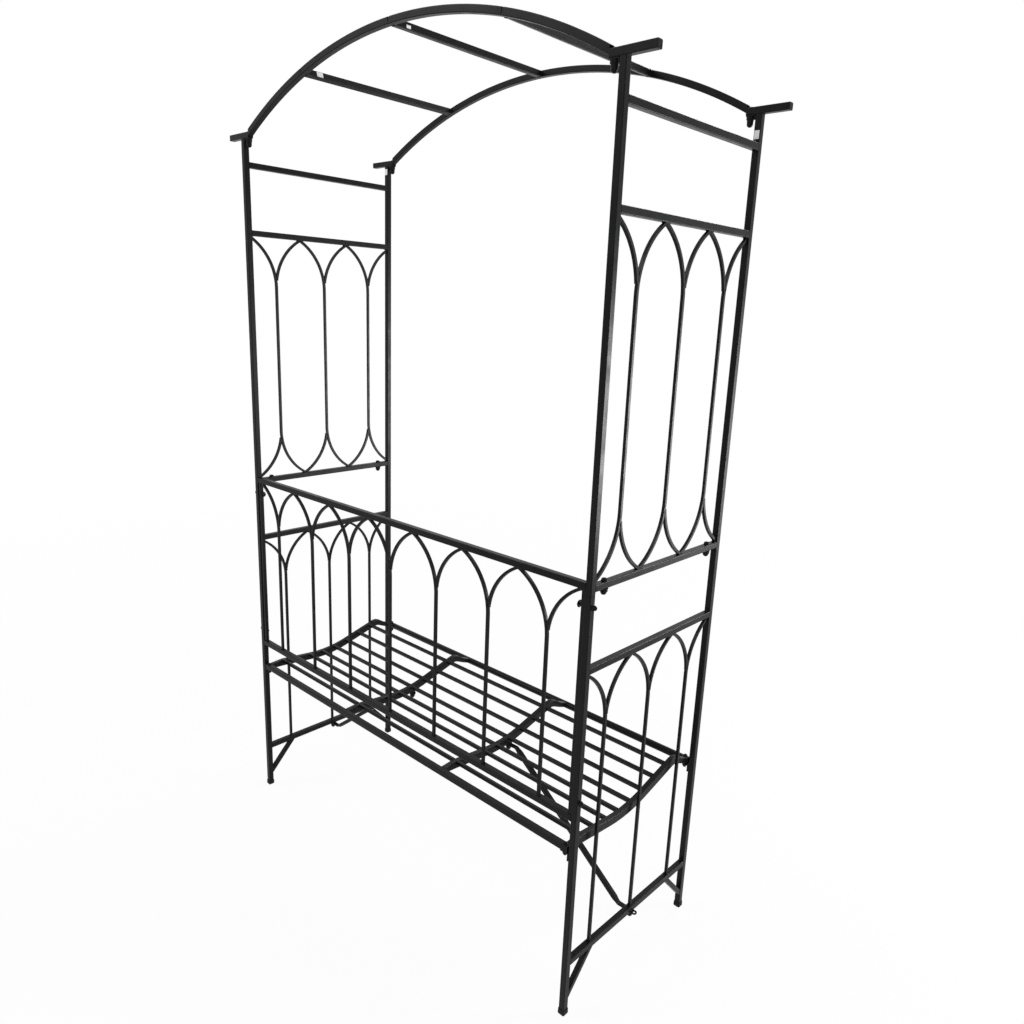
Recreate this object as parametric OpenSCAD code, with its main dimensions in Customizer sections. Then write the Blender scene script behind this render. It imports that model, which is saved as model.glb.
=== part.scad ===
// Garden arch with a built-in bench: two trellis side frames of square tube carry a
// bow roof, a back panel and a slatted seat. Millimetres, Z up, feet at Z = 0.
// X runs across the arch, the sitter faces +Y, and the origin is the middle of the plan.

/* [Frame] */
// Distance across the arch between post centres
frame_w = 1240; // [900:1:1600]
// Distance front to back between post centres
frame_d = 482; // [380:1:640]
// Height of the lower side frames, foot to seam
lower_h = 996; // [960:1:1100]
// Length of the upper posts, seam to top
upper_h = 948; // [800:1:1200]
// Outer size of the square tube of posts, rails and roof
tube = 15; // [12:0.5:20]
// Wall of the square tube
tube_wall = 1; // [0.8:0.1:1.5]

/* [Rail heights] */
// Centre height of the bottom rail of each lower side frame
foot_rail_z = 136; // [100:1:200]
// Centre height of the armrest rail
arm_rail_z = 835; // [760:1:900]
// Height of the bottom rail of each upper frame above the seam
hem_rail_up = 14; // [10:1:40]
// Height of the second rail of each upper frame above the seam
frieze_rail_up = 710; // [600:1:740]
// Height of the top rail of each upper frame above the seam
top_rail_up = 884; // [790:1:900]

/* [Pointed arches] */
// Thickness of the square bars in the panels
bar = 7; // [5:0.1:8]
// Number of bars in each side panel
side_bars = 3; // [2:1:4]
// Number of bars in the back panel
back_bars = 7; // [5:1:9]
// Height of the pointed arches of the upper side panels, bend to rail face
upper_rise = 135; // [121:1:160]
// Height of the pointed arches of the lower side panels
lower_rise = 128; // [121:1:150]
// Height of the pointed arches of the back panel
back_rise = 132; // [121:1:150]
// Distance from the rail face down to the cut end of a short arc, where it is welded on
weld_in = 113; // [95:1:120]

/* [Back panel] */
// Centre height of the bottom rail of the back panel
back_low_z = 499; // [470:1:540]
// Height of the top rail of the back panel above the seam
back_top_up = 18; // [-40:1:60]
// Size of the square end uprights of the back panel
upright = 10; // [8:0.5:14]
// Distance of each upright bolt from the rail centre next to it
upright_bolt_in = 41; // [25:1:80]

/* [Seat] */
// Centre height of the square rear rail of the seat
seat_rear_z = 420; // [390:1:440]
// Centre height of the round front rail of the seat
seat_front_z = 429; // [410:1:445]
// Diameter of the round front rail
front_rail_d = 19; // [15:0.5:25]
// Size of the square tube of the contoured ribs
rib = 14; // [12:0.5:16]
// Gap between the seat frame and the posts beside it
seat_gap = 4; // [2:0.5:10]
// Downward slope of the ribs behind the hollow, in degrees
rear_slope = 5.5; // [3:0.5:8]
// Upward slope of the ribs in front of the hollow, in degrees
front_slope = 16; // [12:0.5:18]
// Bend radius of the hollow
hollow_r = 380; // [250:5:450]
// Distance of the bottom of the hollow from the rear rail centre
hollow_in = 186; // [170:1:210]
// Bend radius of the rounded front edge
crest_r = 42; // [30:1:60]
// Distance of the top of the front edge from the front rail centre
crest_in = 69; // [60:1:90]
// Number of slats
slats = 8; // [4:1:9]
// Size of the square slats
slat = 9; // [6:0.5:10]
// Distance between slat centres from front to back
slat_pitch = 48.4; // [30:0.1:50]
// Distance of the rearmost slat from the rear rail centre
first_slat = 47; // [25:1:60]

/* [Roof] */
// Height of the crown of the roof arcs above their ends
roof_rise = 154; // [80:1:260]
// Distance of the outer rungs from the middle of the roof
rung_x = 335; // [200:1:420]
// Opening at the top of each roof joint
notch = 5; // [1:0.5:10]
// Length of the sleeves inside the joints of the roof and the posts
sleeve_len = 80; // [40:1:120]
// Reach of the post-top stubs beyond the post centre
stub_out = 65; // [30:1:120]
// Reach of the post-top stubs inwards from the post centre
stub_in = 30; // [26:1:60]
// Height of the roof arc centre above the stub centre where they meet
stub_step = 5.5; // [0:0.5:7]

/* [Braces] */
// Size of the square diagonal seat braces
brace = 12; // [8:0.5:14]
// Distance of the braces in front of the middle of the side panels
brace_y = 3.5; // [-10:0.5:20]
// Distance from an inner rib's centre to the bend at the top of its brace
brace_top_out = 29; // [20:1:60]
// Distance from the foot rail's centre to the bend at the bottom of a brace
brace_foot_in = 34; // [25:1:60]
// Reach of a brace's lower strip past the foot rail's centre
strip_reach = 19; // [14:1:30]
// Size of the small foot braces
foot_brace = 8; // [6:0.5:12]
// Height at which a foot brace meets its post
foot_brace_z = 47; // [40:1:70]
// Distance from the post face at which a foot brace meets the rail
foot_brace_in = 75; // [50:1:110]

/* [Fasteners] */
// Thread diameter of the bolts
bolt_d = 6; // [5:0.5:7]
// Distance of the seam bolts from the post centre
seam_bolt_in = 43; // [30:1:70]
// Distance of the seat bolts from the ends of the seat rails
seat_bolt_in = 10.5; // [8:0.5:20]
// Distance of the roof bolts from the inner ends of the stubs
stub_bolt_in = 8; // [7:0.5:9]
// Diameter of the long caps on the roof bolts
long_cap_d = 13; // [12:0.5:15]
// Length of the long caps on the roof bolts
long_cap_h = 26; // [18:1:40]

/* [Feet] */
// Height of the foot caps
cap_h = 14; // [10:1:25]
// Thickness of the foot caps under the posts
cap_floor = 4; // [2:0.5:6]

/* [Hidden] */
$fn = 48;
BEND_FN = 240;                     // facets of a full circle of the seat and panel bends
ROOF_FN = 720;                     // the same for the wide roof arcs
black = "#26272a";

half_w = frame_w / 2;
half_d = frame_d / 2;
half_tube = tube / 2;
inner_d = half_d - half_tube;      // post face to post face, halved, front to back
inner_w = half_w - half_tube;      // the same across the arch
LEFT = -1;
RIGHT = 1;
REAR = -1;
FRONT = 1;

hem_z = lower_h + hem_rail_up;
foot_z = foot_rail_z - half_tube;  // underside of the foot rail
frieze_z = lower_h + frieze_rail_up;
top_z = lower_h + top_rail_up;
post_top = lower_h + upper_h;
stub_z = post_top + half_tube;

back_top_z = lower_h + back_top_up;
upright_bolt_z = [back_low_z + upright_bolt_in, back_top_z - upright_bolt_in];
seam_bolt_y = half_d - seam_bolt_in;
roof_bolt_x = half_w - stub_in + stub_bolt_in;

slide_gap = 0.2;                   // between a sleeve and the tube around it
fit_gap = 0.3;                     // between bolted frames that stand side by side
weld_gap = 0.2;                    // between a tube end and the round rail it is welded to
hole_d = bolt_d + 0.5;
head_d = 1.75 * bolt_d;
head_h = 0.6 * bolt_d;
nut_flat = 1.7 * bolt_d;
nut_h = bolt_d;
collar_t = 1.2;                    // flange of a cap nut
join_lap = 0.4;                    // a straight runs this far into the bend next to it,
join_step = 0.02;                  // with its faces this far inside the bend's own
cut = 1;                           // overlap of a cutting shape past the face it cuts
angle_t = 2.5;                     // the angles at the post tops: thickness, width, leg
angle_w = 12;
angle_drop = 10;

// ---- basic sections ---------------------------------------------------------

// Square tube along X, centred on the origin; wall 0 makes a solid bar
module tube_x(length, size = tube, wall = tube_wall) {
  difference() {
    cube([length, size, size], center = true);
    if (wall > 0) cube([length + cut, size - 2 * wall, size - 2 * wall], center = true);
  }
}

module tube_y(length, size = tube, wall = tube_wall) {
  rotate([0, 0, 90]) tube_x(length, size, wall);
}

module tube_z(length, size = tube, wall = tube_wall) {
  rotate([0, 90, 0]) tube_x(length, size, wall);
}

// Round hole along Z through a tube of the given size at the origin
module bolt_hole(through = tube) {
  cylinder(h = through + 2 * cut, d = hole_d, center = true);
}

// Square tube bent in the XY plane. Each step is [straight, bend radius, bend angle];
// a positive angle bends towards +Y.
module bent_tube(steps, size, wall, i = 0) {
  straight = steps[i][0];
  radius = steps[i][1];
  angle = steps[i][2];
  side = angle < 0 ? -1 : 1;
  if (straight > 0) translate([straight / 2, 0, 0])
    tube_x(straight + 2 * join_lap, size - 2 * join_step, wall - 2 * join_step);
  translate([straight, 0, 0]) {
    if (angle != 0) mirror([0, side < 0 ? 1 : 0, 0]) bend(radius, abs(angle), size, wall);
    if (i + 1 < len(steps))
      translate([radius * sin(abs(angle)), side * radius * (1 - cos(angle)), 0])
        rotate([0, 0, angle]) bent_tube(steps, size, wall, i + 1);
  }
}

module bend(radius, angle, size, wall) {
  translate([0, radius, 0]) rotate([0, 0, -90]) rotate_extrude(angle = angle, $fn = BEND_FN)
    translate([radius, 0]) difference() {
      square(size, center = true);
      if (wall > 0) square(size - 2 * wall, center = true);
    }
}

// ---- pointed-arch bars ------------------------------------------------------

// The bars are drawn flat, as one outline a row, and extruded to the bar's thickness.

// Radius of the bend that leaves a bar straight up and meets the point at (spread, rise)
function ogive_r(spread, rise) = (spread * spread + rise * rise) / (2 * spread);

// One bend that springs from the origin upwards and curves to +X (side 1) or -X (side -1),
// drawn from the height start
module ogive(spread, rise, side, start) {
  r = ogive_r(spread, rise);
  intersection() {
    translate([side * r, 0]) difference() {
      circle(r + bar / 2, $fn = BEND_FN);
      circle(r - bar / 2, $fn = BEND_FN);
    }
    translate([side * spread / 2 - spread / 2 - bar, start])
      square([spread + 2 * bar, rise + bar - start]);
  }
}

// The long bar's own bend and the short arc of the same radius, which starts a little
// above the spring, where its cut end is welded to the long bar
module ogive_pair(spread, rise, long_side) {
  ogive(spread, rise, long_side, 0);
  ogive(spread, rise, -long_side, rise - weld_in);
}

// A whole bar standing on the X axis at X = 0 and ending at Y = height. top and foot give
// the side of the long bend at each end, and foot = 0 is a straight foot. from_x and to_x
// trim it to its bay.
module pointed_bar(height, half_bay, rise, top, foot, from_x, to_x) {
  from = foot == 0 ? -cut : rise - join_lap;
  to = height - rise + join_lap;
  intersection() {
    translate([from_x, 0]) square([to_x - from_x, height]);
    union() {
      translate([0, (from + to) / 2]) square([bar - 2 * join_step, to - from], center = true);
      translate([0, height - rise]) ogive_pair(half_bay, rise, top);
      if (foot != 0) translate([0, rise]) mirror([0, 1]) ogive_pair(half_bay, rise, foot);
    }
  }
}

// A row of bars between two uprights, trimmed at +-half_clear: bays of equal width, in
// which the arches of neighbouring bars run into each other at the point
module bar_row(count, pitch, half_clear, height, rise, tops, feet) {
  linear_extrude(bar, center = true) for (i = [0 : count - 1]) {
    x = (i - (count - 1) / 2) * pitch;
    from_x = max(-pitch / 2 - join_lap, -half_clear - x);
    to_x = min(pitch / 2 + join_lap, half_clear - x);
    top = tops[i % len(tops)];
    foot = feet[i % len(feet)];
    translate([x, 0]) pointed_bar(height, pitch / 2, rise, top, foot, from_x, to_x);
  }
}

module side_bar_row(side, low_rail, high_rail, rise, tops, feet) {
  color(black) translate([side * half_w, 0, low_rail + half_tube]) rotate([90, 0, 90])
    bar_row(side_bars, frame_d / side_bars, inner_d,
            high_rail - low_rail - tube, rise, tops, feet);
}

module upper_bars(side, tops, feet) {
  side_bar_row(side, hem_z, frieze_z, upper_rise, tops, feet);
}

module lower_bars(side, tops) {
  side_bar_row(side, foot_rail_z, arm_rail_z, lower_rise, tops, [0]);
}

// ---- side frames ------------------------------------------------------------

// Holes for the back panel's bolts, in the rear posts and their sleeves only
module panel_holes(side, end) {
  if (end == REAR) for (z = upright_bolt_z)
    translate([side * half_w, end * half_d, z]) rotate([0, 90, 0]) bolt_hole();
}

// Post with a welded angle at its top, to which the roof bolt ties the stub
module upper_post(side, end) {
  reach = stub_in - half_tube;
  color(black) difference() {
    translate([side * half_w, end * half_d, post_top]) union() {
      translate([0, 0, -upper_h / 2]) tube_z(upper_h);
      translate([-side * (half_tube + reach / 2), 0, -angle_t / 2])
        cube([reach, angle_w, angle_t], center = true);
      translate([-side * (half_tube + angle_t / 2), 0, -angle_drop / 2])
        cube([angle_t, angle_w, angle_drop], center = true);
    }
    panel_holes(side, end);
    translate([side * roof_bolt_x, end * half_d, post_top]) bolt_hole();
  }
}

module lower_post(side, end) {
  color(black) difference() {
    translate([side * half_w, end * half_d, (cap_floor + lower_h) / 2])
      tube_z(lower_h - cap_floor);
    panel_holes(side, end);
  }
}

module side_rail(side, z) {
  color(black) translate([side * half_w, 0, z]) tube_y(2 * inner_d);
}

module hem_rail(side) {
  color(black) difference() {
    translate([side * half_w, 0, hem_z]) tube_y(2 * inner_d);
    for (end = [REAR, FRONT]) translate([side * half_w, end * seam_bolt_y, hem_z]) bolt_hole();
  }
}

module foot_rail(side) {
  color(black) difference() {
    translate([side * half_w, 0, foot_rail_z]) tube_y(2 * inner_d);
    translate([side * half_w, brace_y, foot_z]) cylinder(h = 2 * stud_in, d = hole_d, center = true);
  }
}

// Short struts from the posts up to the underside of the foot rail
module foot_braces(side) {
  rise = foot_rail_z - half_tube - foot_brace_z;
  slope = atan(rise / foot_brace_in);
  length = norm([rise, foot_brace_in]) + 2 * foot_brace;
  color(black) for (end = [REAR, FRONT]) intersection() {
    translate([side * half_w, end * (inner_d - foot_brace_in / 2), foot_brace_z + rise / 2])
      rotate([-end * slope, 0, 0]) tube_y(length, foot_brace, tube_wall);
    translate([side * half_w, 0, (foot_rail_z - half_tube) / 2])
      cube([tube, 2 * inner_d, foot_rail_z - half_tube], center = true);
  }
}

// ---- back panel -------------------------------------------------------------

back_half = inner_w - fit_gap;     // half width of the panel, outside of the uprights
upright_x = back_half - upright / 2;

module back_rail(z) {
  color(black) translate([0, -half_d, z]) tube_x(2 * back_half);
}

module back_upright(side) {
  height = back_top_z - back_low_z - tube;
  color(black) difference() {
    translate([side * upright_x, -half_d, (back_low_z + back_top_z) / 2])
      tube_z(height, upright);
    for (z = upright_bolt_z) translate([side * upright_x, -half_d, z])
      rotate([0, 90, 0]) bolt_hole(upright);
  }
}

module back_bars() {
  clear = back_half - upright;
  color(black) translate([0, -half_d, back_low_z + half_tube]) rotate([90, 0, 0])
    bar_row(back_bars, 2 * clear / back_bars, clear,
            back_top_z - back_low_z - tube, back_rise, [-1], [0]);
}

// ---- seat -------------------------------------------------------------------

seat_half = inner_w - seat_gap;
rib_x = seat_half - rib / 2;
rib_step = 2 * rib_x / 3;          // four ribs, evenly spaced
seat_bolt_x = seat_half - seat_bolt_in;

// The rib's centreline in (u, z), u measured from the rear rail's centre to the front:
// down the rear slope, round the hollow, up the front slope, over the crest to the rail.
hollow_from = hollow_in - hollow_r * sin(rear_slope);
hollow_to = hollow_in + hollow_r * sin(front_slope);
hollow_z = seat_rear_z - hollow_from * tan(rear_slope) - hollow_r * (1 - cos(rear_slope));
front_from_z = hollow_z + hollow_r * (1 - cos(front_slope));
crest_u = frame_d - crest_in;
crest_from = crest_u - crest_r * sin(front_slope);
crest_from_z = front_from_z + (crest_from - hollow_to) * tan(front_slope);
crest_centre_z = crest_from_z - crest_r * cos(front_slope);

// The last straight is tangent to the crest and points at the round rail's centre
nose_far = norm([crest_in, seat_front_z - crest_centre_z]);
nose_len = sqrt(nose_far * nose_far - crest_r * crest_r);
nose_up = atan((seat_front_z - crest_centre_z) / crest_in) + acos(crest_r / nose_far);
nose_slope = 90 - nose_up;

rib_steps = [
  [hollow_from / cos(rear_slope), hollow_r, rear_slope + front_slope],
  [(crest_from - hollow_to) / cos(front_slope), crest_r, -(front_slope + nose_slope)],
  [nose_len, 0, 0]
];

// Height and slope of the rib's centreline at u
function rib_z(u) =
  u < hollow_from ? seat_rear_z - u * tan(rear_slope) :
  u < hollow_to ? hollow_z + hollow_r - sqrt(pow(hollow_r, 2) - pow(u - hollow_in, 2)) :
  u < crest_from ? front_from_z + (u - hollow_to) * tan(front_slope) :
  crest_centre_z + sqrt(pow(crest_r, 2) - pow(u - crest_u, 2));
function rib_slope(u) =
  u < hollow_from ? -rear_slope :
  u < hollow_to ? asin((u - hollow_in) / hollow_r) :
  u < crest_from ? front_slope : -asin((u - crest_u) / crest_r);

// Tube between the two seat rails, cut to fit the square one and the round one
module rib_tube(x) {
  difference() {
    translate([x, -half_d, seat_rear_z]) rotate([90, 0, 90]) rotate([0, 0, -rear_slope])
      bent_tube(rib_steps, rib, tube_wall);
    translate([x, -half_d, seat_rear_z]) cube([2 * rib, tube, 2 * tube], center = true);
    translate([x, half_d, seat_front_z]) rotate([0, 90, 0])
      cylinder(h = 2 * rib, d = front_rail_d + 2 * weld_gap, center = true);
  }
}

strip_t = 3;                       // flattened ends of the braces
strip_w = 14;
strip_round = 12;                  // from a bolt to the end of the upper strip
strip_lap = 6;                     // length of a strip inside the brace's tube
boss_drop = 2.5;                   // from the rib's underside to the boss's flat face
boss_z = rib_z(half_d + brace_y) - rib / 2 - boss_drop;
stud_in = 5;                       // reach of a stud above the face it stands in

// Boss welded under an inner rib, with a flat face for the brace and a stud's hole
module rib_boss(x) {
  height = boss_drop + 2 * tube_wall;
  translate([x - rib / 2, brace_y - rib / 2, boss_z]) cube([rib, rib, height]);
}

// The two end ribs stand beside the posts; the inner ones carry the braces
module seat_rib(x, braced) {
  color(black) difference() {
    union() {
      rib_tube(x);
      if (braced) rib_boss(x);
    }
    if (braced) translate([x, brace_y, boss_z]) cylinder(h = 2 * stud_in, d = hole_d, center = true);
  }
}

module seat_rear_rail() {
  color(black) difference() {
    translate([0, -half_d, seat_rear_z]) tube_x(2 * seat_half);
    for (side = [LEFT, RIGHT]) translate([side * seat_bolt_x, -half_d, seat_rear_z])
      bolt_hole();
  }
}

module seat_front_rail() {
  color(black) translate([0, half_d, seat_front_z]) difference() {
    rotate([0, 90, 0]) cylinder(h = 2 * seat_half, d = front_rail_d, center = true);
    rotate([0, 90, 0])
      cylinder(h = 2 * seat_half + cut, d = front_rail_d - 2 * tube_wall, center = true);
    for (side = [LEFT, RIGHT]) translate([side * seat_bolt_x, 0, 0]) bolt_hole(front_rail_d);
  }
}

slat_inset = 2;                    // from the seat's outer edge to the slat ends
slat_lift = 0.1;

module seat_slats() {
  color(black) for (i = [0 : slats - 1]) {
    u = first_slat + i * slat_pitch;
    translate([0, u - half_d, rib_z(u)]) rotate([rib_slope(u), 0, 0])
      translate([0, 0, (rib + slat) / 2 + slat_lift])
        tube_x(2 * (seat_half - slat_inset), slat, 0);
  }
}

bracket_t = 2.5;
bracket_drop = 20;
bracket_end = 9;                   // from the seat bolt to the end of its bracket
bracket_reach = seat_gap + seat_bolt_in + bracket_end;

// Angle bracket on a post's inner face, carrying the seat rail above it
module seat_bracket(side, end, rail_underside) {
  translate([side * inner_w, end * half_d, rail_underside - bracket_t]) difference() {
    union() {
      translate([-side * bracket_reach / 2, 0, bracket_t / 2])
        cube([bracket_reach, tube, bracket_t], center = true);
      translate([-side * bracket_t / 2, 0, bracket_t - bracket_drop / 2])
        cube([bracket_t, tube, bracket_drop], center = true);
    }
    translate([side * (seat_bolt_x - inner_w), 0, 0]) bolt_hole();
  }
}

module seat_brackets() {
  color(black) for (side = [LEFT, RIGHT]) {
    seat_bracket(side, REAR, seat_rear_z - half_tube);
    seat_bracket(side, FRONT, seat_front_z - front_rail_d / 2);
  }
}

// ---- diagonal seat braces ---------------------------------------------------

// Flattened end of a brace, lying under the rib or the rail: its far end is round and
// may have a spare hole
module strip(from_x, to_x, hole_x, top_z, spare) {
  far = abs(from_x - hole_x) < abs(to_x - hole_x) ? from_x + strip_w / 2 : to_x - strip_w / 2;
  near = far < hole_x ? to_x : from_x;
  translate([0, 0, top_z - strip_t]) difference() {
    union() {
      translate([min(far, near), -strip_w / 2, 0]) cube([abs(far - near), strip_w, strip_t]);
      translate([far, 0, 0]) cylinder(h = strip_t, d = strip_w);
    }
    translate([hole_x, 0, 0]) bolt_hole(2 * strip_t);
    if (spare) translate([far, 0, 0]) bolt_hole(2 * strip_t);
  }
}

// From the boss of an inner rib, out and down to the underside of the foot rail
module seat_brace(side) {
  top = [rib_step / 2 + brace_top_out, boss_z - strip_t / 2];
  foot = [half_w - brace_foot_in, foot_z - strip_t / 2];
  run = foot - top;
  mid = (top + foot) / 2;
  reach = 2 * brace;                // length added to each end before it is trimmed
  height = boss_z - foot_z + strip_t;
  color(black) mirror([side < 0 ? 1 : 0, 0, 0]) translate([0, brace_y, 0]) {
    intersection() {
      translate([mid[0], 0, mid[1]]) rotate([0, atan2(-run[1], run[0]), 0])
        tube_x(norm(run) + 2 * reach, brace, tube_wall);
      translate([half_w / 2, 0, boss_z - height / 2]) cube([half_w, 2 * brace, height], center = true);
    }
    strip(rib_step / 2 - strip_round, top[0] + strip_lap, rib_step / 2, boss_z, false);
    strip(foot[0] - strip_lap, half_w + strip_reach, half_w, foot_z, true);
  }
}

// ---- roof -------------------------------------------------------------------

arc_end_x = half_w - stub_in;
arc_end_z = stub_z + stub_step;
roof_r = (arc_end_x * arc_end_x + roof_rise * roof_rise) / (2 * roof_rise);
roof_centre_z = arc_end_z + roof_rise - roof_r;
end_angle = asin(arc_end_x / roof_r);
rung_angle = asin(rung_x / roof_r);
joint_angles = [-rung_angle, 0, rung_angle];

// Places its children in the plane of a roof arc: local X across, local Y up
module in_arc_plane(end) {
  translate([0, end * half_d, roof_centre_z]) rotate([90, 0, 0]) children();
}

// Square tube along the roof arc from one angle to another, measured from the crown
module roof_arc(from, to, size, wall) {
  rotate([0, 0, 90 - to]) rotate_extrude(angle = to - from, $fn = ROOF_FN) translate([roof_r, 0])
    difference() {
      square(size, center = true);
      square(size - 2 * wall, center = true);
    }
}

// Wedge that opens a joint at its top and closes at the tube's underside
module notch_wedge(angle) {
  rotate([0, 0, -angle]) translate([0, roof_r - half_tube, 0])
    linear_extrude(2 * tube, center = true)
      polygon([[0, 0], [notch, 2 * tube], [-notch, 2 * tube]]);
}

// Segments 1 to 4 from left to right; the outer ones are cut upright at the stubs
module roof_segment(end, number) {
  stops = [-end_angle - 1, -rung_angle, 0, rung_angle, end_angle + 1];
  color(black) in_arc_plane(end) difference() {
    roof_arc(stops[number - 1], stops[number], tube, tube_wall);
    for (angle = joint_angles) notch_wedge(angle);
    for (side = [LEFT, RIGHT]) translate([side * (arc_end_x + roof_r / 2), roof_r, 0])
      cube([roof_r, 2 * roof_r, 2 * tube], center = true);
  }
}

module roof_sleeves() {
  size = tube - 2 * tube_wall - 2 * slide_gap;
  half_angle = sleeve_len / 2 / roof_r * 180 / PI;
  color("#3a3b3e") for (end = [REAR, FRONT]) in_arc_plane(end)
    for (angle = joint_angles) roof_arc(angle - half_angle, angle + half_angle, size, tube_wall);
}

module rung(angle) {
  color(black) translate([0, 0, roof_centre_z]) rotate([0, angle, 0])
    translate([0, 0, roof_r]) tube_y(2 * inner_d);
}

// ---- post tops --------------------------------------------------------------

// Stub lying on the post top, from the roof arc's end to beyond the post
module stub(side, end) {
  color(black) difference() {
    translate([side * (half_w + (stub_out - stub_in) / 2), end * half_d, stub_z])
      tube_x(stub_out + stub_in);
    translate([side * roof_bolt_x, end * half_d, stub_z]) bolt_hole();
  }
}

module stub_plugs() {
  plug = tube - 2 * tube_wall - 2 * slide_gap;
  face_t = 1.5;
  color("#1c1d1f") for (side = [LEFT, RIGHT], end = [REAR, FRONT])
    translate([side * (half_w + stub_out), end * half_d, stub_z]) {
      translate([side * face_t / 2, 0, 0]) cube([face_t, tube, tube], center = true);
      translate([-side * tube / 2, 0, 0]) cube([tube, plug, plug], center = true);
    }
}

module post_sleeves() {
  color("#3a3b3e") for (side = [LEFT, RIGHT], end = [REAR, FRONT]) difference() {
    translate([side * half_w, end * half_d, lower_h])
      tube_z(sleeve_len, tube - 2 * tube_wall - 2 * slide_gap);
    panel_holes(side, end);
  }
}

// ---- feet -------------------------------------------------------------------

cap_wall = 1.5;

// Cap over the post's foot: a flat base with rounded lower edges
module foot_cap() {
  outer = tube + 2 * cap_wall;
  base = tube - 2;
  difference() {
    hull() {
      translate([0, 0, cap_wall + (cap_h - cap_wall) / 2])
        cube([outer, outer, cap_h - cap_wall], center = true);
      translate([0, 0, cap_wall / 2]) cube([base, base, cap_wall], center = true);
    }
    translate([0, 0, cap_floor + cap_h / 2])
      cube([tube + slide_gap, tube + slide_gap, cap_h], center = true);
  }
}

module foot_caps() {
  color("#1c1d1f") for (side = [LEFT, RIGHT], end = [REAR, FRONT])
    translate([side * half_w, end * half_d, 0]) foot_cap();
}

// ---- fasteners --------------------------------------------------------------

// Round-headed bolt: the head stands on Z = 0 and the shank runs down
module bolt(grip) {
  translate([0, 0, -grip - nut_h + cut]) cylinder(h = grip + nut_h - cut, d = bolt_d);
  cylinder(h = head_h / 2, d = head_d);
  translate([0, 0, head_h / 2]) cylinder(h = head_h / 2, d1 = head_d, d2 = 0.6 * head_d);
}

// Headless stud through a brace's strip
module stud() {
  below = strip_t + nut_h - cut;
  translate([0, 0, -below]) cylinder(h = below + stud_in, d = bolt_d);
}

// Cap nut below Z = 0, with the bolt's end inside it
module dome_nut() {
  difference() {
    union() {
      translate([0, 0, -nut_h]) cylinder(h = nut_h, d = nut_flat / cos(30), $fn = 6);
      translate([0, 0, -nut_h]) sphere(d = 0.9 * nut_flat);
      translate([0, 0, -collar_t]) cylinder(h = collar_t, d = 1.3 * nut_flat);
    }
    translate([0, 0, -nut_h]) cylinder(h = nut_h + cut, d = bolt_d + 2 * slide_gap);
  }
}

// Long domed cap below Z = 0 on the end of a roof bolt
module long_cap(d, h) {
  difference() {
    union() {
      translate([0, 0, -(h - d / 2)]) cylinder(h = h - d / 2, d = d);
      translate([0, 0, -(h - d / 2)]) sphere(d = d);
    }
    translate([0, 0, -nut_h]) cylinder(h = nut_h + cut, d = bolt_d + 2 * slide_gap);
  }
}

// Every bolted place: the head's seat is Z = 0 of its children, the axis runs down, and
// $grip is the thickness bolted together
module at_bolts() {
  for (side = [LEFT, RIGHT]) {
    for (end = [REAR, FRONT])
      translate([side * half_w, end * seam_bolt_y, hem_z + half_tube]) {
        $grip = tube;
        children();
      }
    for (z = upright_bolt_z) translate([side * (back_half - upright), -half_d, z])
      rotate([0, -side * 90, 0]) {
        $grip = upright + fit_gap + tube;
        children();
      }
    translate([side * seat_bolt_x, -half_d, seat_rear_z + half_tube]) {
      $grip = tube + bracket_t;
      children();
    }
    translate([side * seat_bolt_x, half_d, seat_front_z + front_rail_d / 2]) {
      $grip = front_rail_d + bracket_t;
      children();
    }
  }
}

// Studs that hold the braces from above: Z = 0 is the face each one stands in
module at_studs() {
  for (side = [LEFT, RIGHT]) {
    translate([side * half_w, brace_y, foot_z]) children();
    translate([side * rib_step / 2, brace_y, boss_z]) children();
  }
}

roof_grip = tube + angle_t;

module at_roof_bolts() {
  for (side = [LEFT, RIGHT], end = [REAR, FRONT])
    translate([side * roof_bolt_x, end * half_d, stub_z + half_tube]) children();
}

module bolts() {
  color("#1c1d1f") {
    at_bolts() bolt($grip);
    at_roof_bolts() bolt(roof_grip);
    at_studs() stud();
  }
}

module dome_nuts() {
  color("#1c1d1f") {
    at_bolts() translate([0, 0, -$grip]) dome_nut();
    at_studs() translate([0, 0, -strip_t]) dome_nut();
    at_roof_bolts() translate([0, 0, -roof_grip]) long_cap(long_cap_d, long_cap_h);
  }
}

// ---- the arch ---------------------------------------------------------------

upper_post(LEFT, REAR);  // upper_post_rear_left
upper_post(LEFT, FRONT);  // upper_post_front_left
stub(LEFT, REAR);  // stub_rear_left
stub(LEFT, FRONT);  // stub_front_left
side_rail(LEFT, top_z);  // top_rail_left
side_rail(LEFT, frieze_z);  // frieze_rail_left
hem_rail(LEFT);  // hem_rail_left
upper_bars(LEFT, [-1], [1]);  // upper_bars_left
upper_post(RIGHT, REAR);  // upper_post_rear_right
upper_post(RIGHT, FRONT);  // upper_post_front_right
stub(RIGHT, REAR);  // stub_rear_right
stub(RIGHT, FRONT);  // stub_front_right
side_rail(RIGHT, top_z);  // top_rail_right
side_rail(RIGHT, frieze_z);  // frieze_rail_right
hem_rail(RIGHT);  // hem_rail_right
upper_bars(RIGHT, [1, -1, 1], [-1]);  // upper_bars_right
lower_post(LEFT, REAR);  // lower_post_rear_left
lower_post(LEFT, FRONT);  // lower_post_front_left
side_rail(LEFT, arm_rail_z);  // arm_rail_left
foot_rail(LEFT);  // foot_rail_left
lower_bars(LEFT, [-1, 1, 1]);  // lower_bars_left
foot_braces(LEFT);  // foot_braces_left
lower_post(RIGHT, REAR);  // lower_post_rear_right
lower_post(RIGHT, FRONT);  // lower_post_front_right
side_rail(RIGHT, arm_rail_z);  // arm_rail_right
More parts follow.
